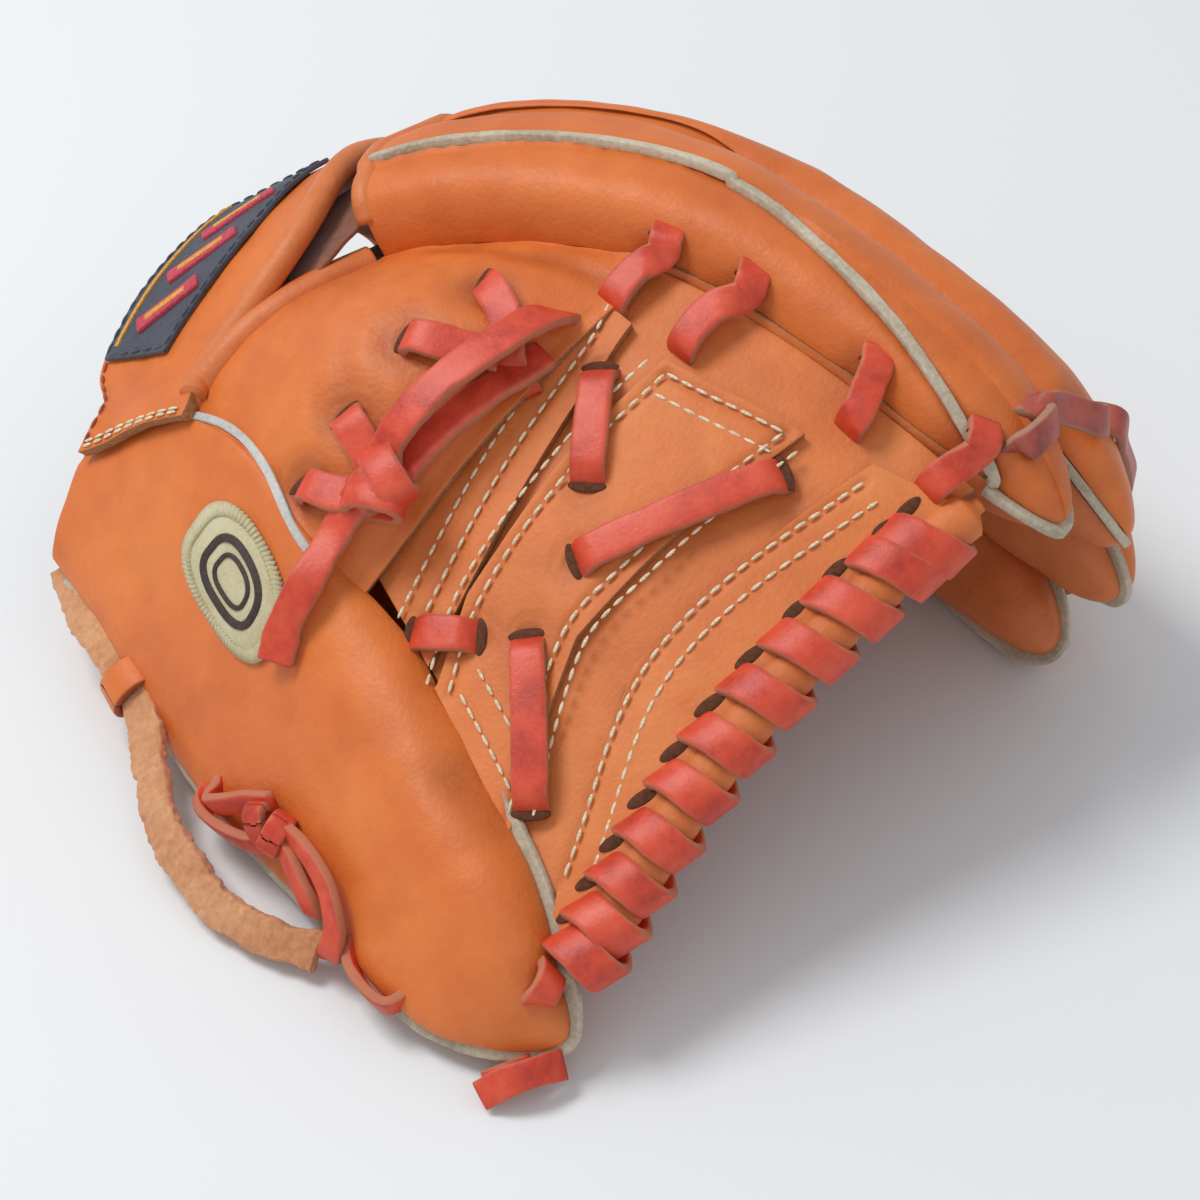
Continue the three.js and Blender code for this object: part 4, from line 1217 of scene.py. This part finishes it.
def make_strap():
    p, q = np.linspace(0, 1, 170), np.linspace(0, 1, 40)
    relief = relief_of(81, 0.3, 26)
    strap = grid_piece("wrist_strap_leather", strap_band, p, q, ["back", "edge"], LEATHER, relief)
    bent(strap, "back_leather", CROTCH_BEND, "wrist_strap")
    rows = [run_points("strap_band", [(at, 0.04), (at, 0.5), (at, 0.96)], 0.05) for at in (0.016, 0.034)]
    rows.append(run_points("strap_band", [(at, 0.9) for at in (0.55, 0.75, 0.97)], 0.05))
    stitch_rows("wrist_strap_stitches", rows, "back_leather", bends=CROTCH_BEND)
    rim = [run_points("strap_band", [(at, 0.05) for at in (0.02, 0.3, 0.6, 0.97)], 0.05)]
    stitch_rows("wrist_rim_stitches", rim, "back_leather", material="brown_thread", bends=CROTCH_BEND)
    edge = [(at, 1.0) for at in (0.1, 0.2, 0.3, 0.45, 0.6, 0.8, 0.98)]
    points, ups = run_points("strap_band", edge, -1.3, 160)
    bent(tube_piece("strap_rolled_edge", "palm", points, 3.2, ups, 1.0, 16), "back_leather", CROTCH_BEND)


def make_label():
    s, t = np.linspace(0.35, 0.56, 60), np.linspace(0.008, 0.088, 40)
    relief = relief_of(85, 0.15, 12)
    label = grid_piece("strap_label_cloth", strap_point, s, t, ["navy"], CLOTH, relief, base=1.7)
    bent(label, "label", CROTCH_BEND, "strap_label")
    border = [(0.355, 0.011), (0.555, 0.011), (0.555, 0.085), (0.355, 0.085), (0.355, 0.011)]
    rows = [run_points("strap", border[i : i + 2], 1.5) for i in range(4)]
    stitch_rows("strap_label_hem", rows, "label", material="navy", wide=0.9, bends=CROTCH_BEND)
    line = [run_points("strap", [(0.365, 0.02), (0.545, 0.02)], 1.9)]
    bent(new_lace("strap_label_line", line, "gold_thread", 1.2, 0.7, 0.0), "label", CROTCH_BEND)
    for name, wide, high, margin in (("red", 4.6, 1.5, 0.0), ("gold", 2.0, 1.9, 0.006)):
        bars = []
        for at in (0.40, 0.45, 0.50):
            ends = [(at - 0.016 + margin, 0.036 + margin), (at + 0.014 - margin, 0.074 - margin)]
            bars.append(run_points("strap", ends, 1.9))
        piece = new_lace("strap_label_" + name + "_bars", bars, name + "_thread", wide, high, 0.0)
        bent(piece, "label", CROTCH_BEND)


def lining_point(u, t, height):
    """The lining folds in under the hand opening's binding, towards the wrist."""
    drop = -4.5 - 27 * (1 - smooth(t, 0.03, CROTCH_FROM + 0.01))
    return crotch_point(u, t, height + drop)


def make_bindings():
    s = np.linspace(0.0, 0.985, 160)
    rim = palm_point(s, np.zeros_like(s), -2.3)
    forward = strip(RAIL["indexWeb"], RAIL["indexMiddle"], np.array(0.0))[3]
    up = unit(palm_point(s, np.zeros_like(s), 5.0) - palm_point(s, np.zeros_like(s), 0.0))
    binding = tube_piece("wrist_rolled_binding", "back", rim - forward * 3.0, 3.4, up, 0.9, 16)
    bent(binding, "back_leather", PALM_BEND, "wrist_binding")
    u = np.linspace(0.0, 1.0, 90)
    rim = crotch_point(u, np.full_like(u, CROTCH_FROM), -0.5)
    back = unit(rim - crotch_point(u, np.full_like(u, CROTCH_FROM + 0.02), -0.5))
    up = unit(crotch_point(u, np.full_like(u, CROTCH_FROM), 5.0) - rim)
    binding = tube_piece("hand_opening_binding", "palm", rim + back * 2.2, 4.0, up, 1.05, 18)
    bent(binding, "back_leather", CROTCH_BEND, "opening_binding")
    u, t = np.linspace(-0.02, 1.45, 90), np.linspace(0.02, CROTCH_FROM + 0.03, 44)
    lining = grid_piece("hand_opening_lining", lining_point, u, t, ["liner"], CLOTH, relief_of(95, 0.4, 16))
    bent(lining, "liner", CROTCH_BEND)
    parts = (("thumb_side_lining", (0.3, 0.465), 0.155), ("back_of_hand_lining", (0.462, 0.985), 0.25))
    for name, ends, top in parts:
        s, t = np.linspace(*ends, 100), np.linspace(0.02, top, 40)
        lining = grid_piece(name, strap_point, s, t, ["liner"], LINING, relief_of(96, 0.3, 20), base=-7.5)
        bent(lining, "liner", CROTCH_BEND)


def welt_run(name, side, start, proud):
    """Middle line and up directions of the welt in one side seam of a stall, out to its tip."""
    t = np.concatenate([np.linspace(min(start, 0.6), ROUND_FROM, 40)[:-1], stall_rows(0.1)[-36:-1]])
    t = t[t >= start]
    edge = stall_point(name, 1, float(side), t, 0.0)
    out = unit(stall_point(name, 1, float(side), t, 4.0) - edge)
    up = strip(*STALL[name][:2], t)[4]
    centre = edge - up * SEAM_HALF
    flat = unit(out - up * np.sum(out * up, -1, keepdims=True))
    return centre + flat * (proud - 1.2), up


# Where the welt comes out of each stall's two side seams.
WELT_STARTS = {
    "thumb": (0.02, 0.62),
    "index": (0.9, 0.5),
    "middle": (0.5, 0.5),
    "ring": (0.5, 0.5),
    "little": (0.5, 0.2),
}


OUTER_SEAMS = {("thumb", -1), ("thumb", 1), ("index", -1), ("little", 1)}


def make_welts():
    for name in STALLS:
        strands = []
        for side in (-1, 1):
            proud = 1.6 if (name, side) in OUTER_SEAMS else 1.2
            strands.append(welt_run(name, side, WELT_STARTS[name][side > 0], proud))
        joined = np.concatenate([strands[0][0], strands[1][0][::-1]])
        ups = np.concatenate([strands[0][1], strands[1][1][::-1]])
        points, ups = even(joined, ups, 1.2)
        piece = new_lace(name + "_seam_welt", [(points, ups)], "welt", 3.8, 2.1, 0.14)
        dress(piece, "thumb" if name == "thumb" else "glove", "welt", name + "_welt")
    points, ups = run_points("index", INDEX_SEAM, -0.2, 200)
    dress(new_lace("index_side_welt", [(points, ups)], "welt", 2.6, 2.4, 0.16), "glove", "welt")


def make_patch():
    bm = bmesh.new()
    rings, spokes = 16, 64
    bmesh.ops.create_grid(bm, x_segments=spokes, y_segments=rings, size=1)
    bm.verts.layers.float.new("shade")
    spot = np.array([vert.co[:2] for vert in bm.verts])
    angle, radius = (spot[:, 0] + 1) * math.pi, (spot[:, 1] + 1) / 2
    a, t = np.array(patch_places(angle, radius)).T
    height = 1.6 * (1 - radius**8) + 0.15
    points = place(stall_point("thumb", 1, a, t, height))
    for vert, point in zip(bm.verts, points):
        vert.co = point
    bmesh.ops.remove_doubles(bm, verts=bm.verts, dist=0.02 * MM)
    bmesh.ops.recalc_face_normals(bm, faces=bm.faces)
    _, up = spot_up("thumb", PATCH_AT, 1.0)
    if sum(f.normal.dot(Vector(up)) for f in bm.faces) < 0:
        bmesh.ops.reverse_faces(bm, faces=bm.faces)
    dress(new_object("thumb_patch_felt", bm, ["cream"]), "thumb", "patch", "thumb_patch")
    turns = np.linspace(0, 2 * math.pi, 60)
    bm = start_mesh()
    strap_mesh(bm, *run_points("thumb", patch_places(turns, 0.55), 1.8, 120), 1.9, 0.9)
    strap_mesh(bm, *run_points("thumb", patch_places(turns, 0.33), 1.8, 120), 1.1, 0.9)
    dress(new_object("thumb_patch_device", bm, ["dark_thread"]), "thumb", "patch")
    bm = start_mesh()
    for inner, outer in zip(patch_places(SATIN, 0.84), patch_places(SATIN + 0.03, 1.03)):
        near, up = spot_up("thumb", inner, 1.5)
        far, _ = spot_up("thumb", outer, 0.5)
        strand = lerp(near, far, np.linspace(0, 1, 3)[:, None])
        strap_mesh(bm, strand, np.broadcast_to(up, (3, 3)), 1.25, 1.0, 1.0)
    dress(new_object("thumb_patch_border", bm, ["cream"]), "thumb", "patch")


SATIN = np.linspace(0, 2 * math.pi, 96, endpoint=False)


def patch_places(angles, size):
    """Places on the thumb's back round the patch's middle, at a share of its size."""
    lobe = size * (1 + 0.05 * np.cos(2 * angles) + 0.03 * np.cos(3 * angles + 0.6))
    corners = np.abs(np.cos(angles)) ** PATCH_SQUARE + np.abs(np.sin(angles)) ** PATCH_SQUARE
    reach = lobe / corners ** (1 / PATCH_SQUARE)
    return [
        (PATCH_AT[0] + PATCH_SIZE[0] * r * math.cos(k), PATCH_AT[1] + PATCH_SIZE[1] * r * math.sin(k))
        for r, k in zip(reach, angles)
    ]


PATCH_AT = (0.37, 0.305)
PATCH_SIZE = (0.335, 0.088)
PATCH_SQUARE = 2.6  # 2 is an ellipse, and more is squarer


def make_tips():
    index = on("index", (0.2, 0.86, -3), (0.3, 0.87, 2.5), (0.7, 0.875, 3.5))
    middle = on("middle", (-0.2, 0.86, -3), (0.0, 0.865, 2.5), (0.75, 0.87, 3.4))
    ring_tip = on("ring", (0.0, 0.86, -3), (0.1, 0.865, 2.4), (0.8, 0.87, 3.2))
    loop = [(-0.6, 0.9, -3), (-0.5, 0.895, 2.6), (0.0, 0.89, 3.2), (0.35, 0.885, 2.2), (0.42, 0.88, -3)]
    strands = [
        strand_over(index + on("middle", (-0.75, 0.865, 3.5), (-0.55, 0.85, -3))),
        strand_over(on("index", *loop)),
        strand_over(middle + on("ring", (-0.8, 0.865, 3.4), (-0.6, 0.85, -3))),
        strand_over(ring_tip + on("little", (-0.8, 0.865, 3.2), (-0.6, 0.85, -3))),
    ]
    lace_piece("fingertip_laces", strands, "fingertip_lace", material="worn_lace", width=7.2)
    thumb = [
        strand_over(on("thumb", (0.99, 0.9, -3), (0.93, 0.91, 2.2), (0.7, 0.925, 2.6), (0.62, 0.93, -3))),
        free_strand([(51, -72, 15), (49, -79, 16.5), (46, -84, 15), (43, -87.5, 11.5)], (0.35, -0.6, 0.7)),
        free_strand([(47, -72, 13), (45, -81, 13.5), (42, -85, 11.5)], (0.5, -0.5, 0.7)),
    ]
    lace_piece("thumb_tip_laces", thumb, "thumb_tip_lace", "thumb", "lace", 6.6)


SUEDE_PATH = [(-128.7, -58.3, 30), (-115, -64.4, 27), (-98.3, -68.3, 25), (-82.9, -73, 23), (-70.8, -81.2, 20)]
SUEDE_PATH += [(-54, -89.9, 18), (-39.5, -93.7, 16), (-26.4, -93.5, 15), (-13.4, -90.6, 15), (-7, -88.5, 15)]
OUTWARD = np.array([0.1, -0.72, 0.68])  # away from the thumb's outer edge


def free_strand(points, up=OUTWARD, count=60):
    """A strand through points in space with one face to the same side all along."""
    through = catmull(points)(np.linspace(0, 1, count))
    return even(through, np.broadcast_to(unit(np.asarray(up, float)), through.shape), 1.0)


def loops_round(centre, axis, up, loops):
    """Turns of lace round a knot: each has a lean, a size and a shift along the axis."""
    side = np.cross(up, axis)
    strands = []
    for lean, size, shift in loops:
        angle = np.linspace(0, 2 * math.pi, 40)
        turned = unit(axis * math.cos(lean) + side * math.sin(lean))
        one = np.cross(up, turned)
        middle = centre + turned * shift
        points = middle + one * np.cos(angle)[:, None] * size + up * np.sin(angle)[:, None] * size * 0.62
        strands.append((points, unit(points - middle)))
    return strands


def make_suede():
    points, ups = free_strand(SUEDE_PATH, count=120)
    points = points + ripple(points, 26, 91)[:, None] * np.array([0, 0.7, 0.6])
    suede = new_lace("suede_strap_loop", [(points, ups)], "suede", 8.6, 3.2, 0.1)
    fuzz = suede.modifiers.new("finer", "SUBSURF")
    fuzz.subdivision_type = "SIMPLE"
    fuzz.levels = fuzz.render_levels = 1
    nap = suede.modifiers.new("nap", "DISPLACE")
    nap.texture = bpy.data.textures.new("nap", "CLOUDS")
    nap.texture.noise_scale = 1.6 * MM
    nap.strength = 1.3 * MM
    dress(suede, "thumb", "suede", "suede_strap")
    way = unit(np.subtract(SUEDE_PATH[3], SUEDE_PATH[2]))
    out = unit(OUTWARD - way * (OUTWARD @ way))
    keeper = loops_round(np.array([-92.0, -70.2, 24.2]), way, out, [(0, 5.6, 0)])
    tab = new_lace("strap_keeper_tab", keeper, "back", 9.0, 2.0, 0.05)
    dress(tab, "thumb", "palm_leather")


def make_heel():
    paths = [
        [(-0.8, 0.42, -2), (-0.78, 0.425, 3), (-0.66, 0.44, 4.2), (-0.5, 0.465, 3.4), (-0.38, 0.49, 2.6)],
        [(-0.97, 0.41, -3), (-0.9, 0.415, 3), (-0.84, 0.45, 3.8), (-0.74, 0.49, 3.2), (-0.6, 0.51, 2.6)],
        [(-0.46, 0.51, 2.6), (-0.4, 0.55, 3.4), (-0.46, 0.6, 3.8), (-0.66, 0.645, 4), (-0.88, 0.655, 4)],
        [(-0.52, 0.5, 2), (-0.6, 0.545, 3.2), (-0.72, 0.58, 3), (-0.86, 0.6, 1.4), (-0.97, 0.61, -2)],
        [(-0.96, 0.68, -3), (-0.93, 0.69, 1.6), (-0.9, 0.76, 2), (-0.92, 0.78, -3)],
    ]
    paths[2].append((-1.0, 0.64, 4.5))
    strands = [strand_over(on("thumb", *places)) for places in paths]
    knot, up = spot_up("thumb", (-0.5, 0.5), 3.4)
    ahead, _ = spot_up("thumb", (-0.45, 0.53), 3.4)
    strands += loops_round(knot, unit(ahead - knot), up, [(0.3, 4.6, -2.2), (-0.5, 5.0, 2.4)])
    lace_piece("thumb_heel_laces", strands, "thumb_heel_lace", "thumb", "lace", 5.2)
    path = on("little", (0.45, 0.2, -3), (0.5, 0.21, 2.4), (0.55, 0.3, 3.0), (0.5, 0.39, 2.4), (0.45, 0.4, -3))
    lace_piece("little_heel_laces", [strand_over(path)], "little_heel_lace", "glove", "lace", 7.0)


def crowned(points, u, v):
    """Relief of a stuffed pad: highest in the middle and pulled in at its edges."""
    across, along = (2 * (x - x.min()) / (x.max() - x.min()) - 1 for x in (u, v))
    return 0.9 * (1 - across**4) * (1 - along**4) - 0.9 + 0.15 * ripple(points, 12, 97)


def make_inside():
    for name, body in (("thumb", "thumb"), ("little", "glove")):
        a, t = np.linspace(-0.42, 0.42, 24), np.linspace(0.45, 0.8, 40)
        stay = grid_piece(name + "_stiffener", back_of(name), a, t, ["stay"], 1.5, base=-3.6)
        dress(stay, body, "stay", name + "_stay")
    s, t = np.linspace(0.68, 0.92, 60), np.linspace(0.07, 0.3, 40)
    pad = grid_piece("heel_pad", palm_point, s, t, ["felt"], PAD_THICK, crowned, base=-8.2)
    dress(pad, "glove", "felt", "palm_pad")
    s = np.linspace(0.28, 0.9, 90)
    liner = grid_piece("palm_lining", palm_point, s, t, ["liner"], LINING, relief_of(99, 0.2, 22), base=-9.6)
    dress(liner, "glove", "liner", "palm_liner")
    a, t = np.linspace(-0.6, 0.6, 40), np.linspace(0.04, 0.4, 60)
    pad = grid_piece("thumb_heel_pad", SURFACE["thumb_front"], a, t, ["felt"], PAD_THICK, crowned, base=-7.0)
    dress(pad, "thumb", "felt", "thumb_pad")


# ---- the stage ----
FLOOR_HALF = 3.0
FLOOR_DROP = 0.0008  # keeps the floor clear of what rests on it
SKY_STRENGTH = 0.62
# name, place, diameter in metres and power in watts
LAMPS = (("key", (-0.55, -0.35, 1.25), 0.6, 10.8), ("fill", (0.9, -0.9, 0.8), 1.2, 1.5))
CAMERA_TURN = math.radians(45)
CAMERA_RISE = math.radians(43)
CAMERA_AWAY = 0.7
CAMERA_LENS = 94.5
CAMERA_TARGET = (0.03029, -0.00743, 0.0424)


def make_floor(scene):
    # Seamless background paper: matt and nearly white, so it holds a soft shadow and no reflection.
    material, tree = new_material("paper_backdrop")
    finish_material(tree, linear("#e9ebec"), 0.9)
    bm = bmesh.new()
    bmesh.ops.create_grid(bm, x_segments=1, y_segments=1, size=FLOOR_HALF)
    mesh = bpy.data.meshes.new("floor")
    bm.to_mesh(mesh)
    bm.free()
    mesh.materials.append(material)
    floor = bpy.data.objects.new("floor", mesh)
    floor.location = (0, 0, -FLOOR_DROP)
    scene.collection.objects.link(floor)
    floor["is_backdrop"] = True


def make_stage():
    scene = bpy.context.scene
    scene.view_settings.view_transform = "Standard"
    make_floor(scene)
    world = bpy.data.worlds.new("studio")
    world.use_nodes = True
    background = world.node_tree.nodes["Background"]
    background.inputs[0].default_value = linear("#eef2f6")
    background.inputs[1].default_value = SKY_STRENGTH
    scene.world = world
    for name, at, size, power in LAMPS:
        light = bpy.data.lights.new(name, "AREA")
        light.shape = "DISK"
        light.size = size
        light.energy = power
        lamp = bpy.data.objects.new(name, light)
        lamp.location = at
        lamp.rotation_euler = (-Vector(at)).to_track_quat("-Z", "Y").to_euler()
        scene.collection.objects.link(lamp)
    data = bpy.data.cameras.new("camera")
    data.lens = CAMERA_LENS
    data.clip_start = 0.01
    camera = bpy.data.objects.new("camera", data)
    level = math.cos(CAMERA_RISE)
    back = Vector((math.sin(CAMERA_TURN) * level, -math.cos(CAMERA_TURN) * level, math.sin(CAMERA_RISE)))
    camera.location = Vector(CAMERA_TARGET) + back * CAMERA_AWAY
    camera.rotation_euler = back.to_track_quat("Z", "Y").to_euler()
    scene.collection.objects.link(camera)
    scene.camera = camera


# ---- the add-on ----
LENGTH = {"unit": "LENGTH", "subtype": "DISTANCE"}
COLOUR = {"subtype": "COLOR", "size": 4}


class GloveSizes(bpy.types.PropertyGroup):
    """Sizes that a user would change."""

    lace_width: bpy.props.FloatProperty(
        name="Lace width", description="Width of the rawhide laces", default=0.0078, **LENGTH
    )
    stitch_pitch: bpy.props.FloatProperty(
        name="Stitch pitch", description="From one stitch to the next", default=0.0038, **LENGTH
    )


class GloveLooks(bpy.types.PropertyGroup):
    """Colours that a user would change."""

    leather_colour: bpy.props.FloatVectorProperty(
        name="Leather", description="Middle tone of the leather", default=linear("#da7231"), **COLOUR
    )
    lace_colour: bpy.props.FloatVectorProperty(
        name="Laces", description="Middle tone of the laces", default=linear("#d34529"), **COLOUR
    )
    welt_colour: bpy.props.FloatVectorProperty(
        name="Welts", description="Light tone of the welts", default=linear("#d6cab2"), **COLOUR
    )
    thread_colour: bpy.props.FloatVectorProperty(
        name="Thread", description="Colour of the stitching", default=linear("#efe3c6"), **COLOUR
    )


class GLOVE_OT_materials(bpy.types.Operator):
    """Makes the leather, lace, thread and cloth finishes"""

    bl_idname = "glove.materials"
    bl_label = "Materials"

    def execute(self, context):
        make_materials()
        return {"FINISHED"}


class GLOVE_OT_backs(bpy.types.Operator):
    """Builds the back leather of the thumb and the fingers"""

    bl_idname = "glove.backs"
    bl_label = "Finger backs"

    def execute(self, context):
        make_backs()
        return {"FINISHED"}


class GLOVE_OT_valleys(bpy.types.Operator):
    """Lets leather in between the fingers and rolls the rim of the hand opening"""

    bl_idname = "glove.valleys"
    bl_label = "Finger valleys"

    def execute(self, context):
        make_valleys()
        return {"FINISHED"}


class GLOVE_OT_palm(bpy.types.Operator):
    """Builds the palm leather and the fingers' palm sides"""

    bl_idname = "glove.palm"
    bl_label = "Palm"

    def execute(self, context):
        make_palm()
        return {"FINISHED"}


class GLOVE_OT_web(bpy.types.Operator):
    """Builds the web's base, its three bands and their stitching"""

    bl_idname = "glove.web"
    bl_label = "Web"

    def execute(self, context):
        make_web()
        return {"FINISHED"}


class GLOVE_OT_web_laces(bpy.types.Operator):
    """Threads the laces over the web's face"""

    bl_idname = "glove.web_laces"
    bl_label = "Web laces"

    def execute(self, context):
        make_web_laces()
        return {"FINISHED"}


class GLOVE_OT_web_edge(bpy.types.Operator):
    """Rolls the web's free edge and wraps lace round it"""

    bl_idname = "glove.web_edge"
    bl_label = "Web edge"

    def execute(self, context):
        make_edge()
        return {"FINISHED"}


class GLOVE_OT_web_ties(bpy.types.Operator):
    """Ties the web to the index finger and the thumb"""

    bl_idname = "glove.web_ties"
    bl_label = "Web ties"

    def execute(self, context):
        make_index_ties()
        return {"FINISHED"}


class GLOVE_OT_crotch(bpy.types.Operator):
    """Builds the domed panel between thumb and index finger"""

    bl_idname = "glove.crotch"
    bl_label = "Crotch"

    def execute(self, context):
        make_crotch()
        return {"FINISHED"}


class GLOVE_OT_crotch_lace(bpy.types.Operator):
    """Threads and knots the crotch lace"""

    bl_idname = "glove.crotch_lace"
    bl_label = "Crotch lace"

    def execute(self, context):
        make_crotch_lace()
        return {"FINISHED"}


class GLOVE_OT_strap(bpy.types.Operator):
    """Builds the wrist strap with its stitching and rolled edge"""

    bl_idname = "glove.strap"
    bl_label = "Wrist strap"

    def execute(self, context):
        make_strap()
        return {"FINISHED"}


class GLOVE_OT_label(bpy.types.Operator):
    """Builds the woven label on the strap"""

    bl_idname = "glove.label"
    bl_label = "Strap label"

    def execute(self, context):
        make_label()
        return {"FINISHED"}


class GLOVE_OT_bindings(bpy.types.Operator):
    """Rolls the bindings of the wrist and the hand opening"""

    bl_idname = "glove.bindings"
    bl_label = "Bindings"

    def execute(self, context):
        make_bindings()
        return {"FINISHED"}


class GLOVE_OT_welts(bpy.types.Operator):
    """Lays the split leather welts in the seams"""

    bl_idname = "glove.welts"
    bl_label = "Welts"

    def execute(self, context):
        make_welts()
        return {"FINISHED"}


class GLOVE_OT_patch(bpy.types.Operator):
    """Builds the felt patch on the thumb"""

    bl_idname = "glove.patch"
    bl_label = "Thumb patch"

    def execute(self, context):
        make_patch()
        return {"FINISHED"}


class GLOVE_OT_tips(bpy.types.Operator):
    """Laces the fingertips together"""

    bl_idname = "glove.tips"
    bl_label = "Tip laces"

    def execute(self, context):
        make_tips()
        return {"FINISHED"}


class GLOVE_OT_suede(bpy.types.Operator):
    """Builds the suede strap with its leather keeper"""

    bl_idname = "glove.suede"
    bl_label = "Suede strap"

    def execute(self, context):
        make_suede()
        return {"FINISHED"}


class GLOVE_OT_heel(bpy.types.Operator):
    """Threads and knots the laces of the thumb's and little finger's heels"""

    bl_idname = "glove.heel"
    bl_label = "Heel laces"

    def execute(self, context):
        make_heel()
        return {"FINISHED"}


class GLOVE_OT_inside(bpy.types.Operator):
    """Builds the pads and the palm lining"""

    bl_idname = "glove.inside"
    bl_label = "Inside"

    def execute(self, context):
        make_inside()
        return {"FINISHED"}


class GLOVE_OT_stage(bpy.types.Operator):
    """Sets up the floor, lights and camera"""

    bl_idname = "glove.stage"
    bl_label = "Stage"

    def execute(self, context):
        make_stage()
        return {"FINISHED"}


OPERATORS = (
    GLOVE_OT_materials,
    GLOVE_OT_backs,
    GLOVE_OT_valleys,
    GLOVE_OT_palm,
    GLOVE_OT_web,
    GLOVE_OT_web_laces,
    GLOVE_OT_web_edge,
    GLOVE_OT_web_ties,
    GLOVE_OT_crotch,
    GLOVE_OT_crotch_lace,
    GLOVE_OT_strap,
    GLOVE_OT_label,
    GLOVE_OT_bindings,
    GLOVE_OT_welts,
    GLOVE_OT_patch,
    GLOVE_OT_tips,
    GLOVE_OT_suede,
    GLOVE_OT_heel,
    GLOVE_OT_inside,
    GLOVE_OT_stage,
)


class GLOVE_PT_pieces(bpy.types.Panel):
    """The glove's sizes, colours and pieces"""

    bl_idname = "GLOVE_PT_pieces"
    bl_label = "Glove"
    bl_space_type = "VIEW_3D"
    bl_region_type = "UI"
    bl_category = "Glove"

    def draw(self, context):
        for group in (context.scene.glove_sizes, context.scene.glove_looks):
            for name in group.__annotations__:
                self.layout.prop(group, name)
        for operator in OPERATORS:
            self.layout.operator(operator.bl_idname)


CLASSES = (GloveSizes, GloveLooks, *OPERATORS, GLOVE_PT_pieces)


def register():
    for cls in CLASSES:
        bpy.utils.register_class(cls)
    bpy.types.Scene.glove_sizes = bpy.props.PointerProperty(type=GloveSizes)
    bpy.types.Scene.glove_looks = bpy.props.PointerProperty(type=GloveLooks)


def unregister():
    del bpy.types.Scene.glove_looks
    del bpy.types.Scene.glove_sizes
    for cls in reversed(CLASSES):
        bpy.utils.unregister_class(cls)


def main():
    register()
    for operator in OPERATORS:
        group, name = operator.bl_idname.split(".")
        getattr(getattr(bpy.ops, group), name)()
    boxes = {"cad": CAD_BOX, "visual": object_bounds()}
    boxes = {name: [list(corner) for corner in box] for name, box in boxes.items()}


if __name__ == "__main__":
    main()
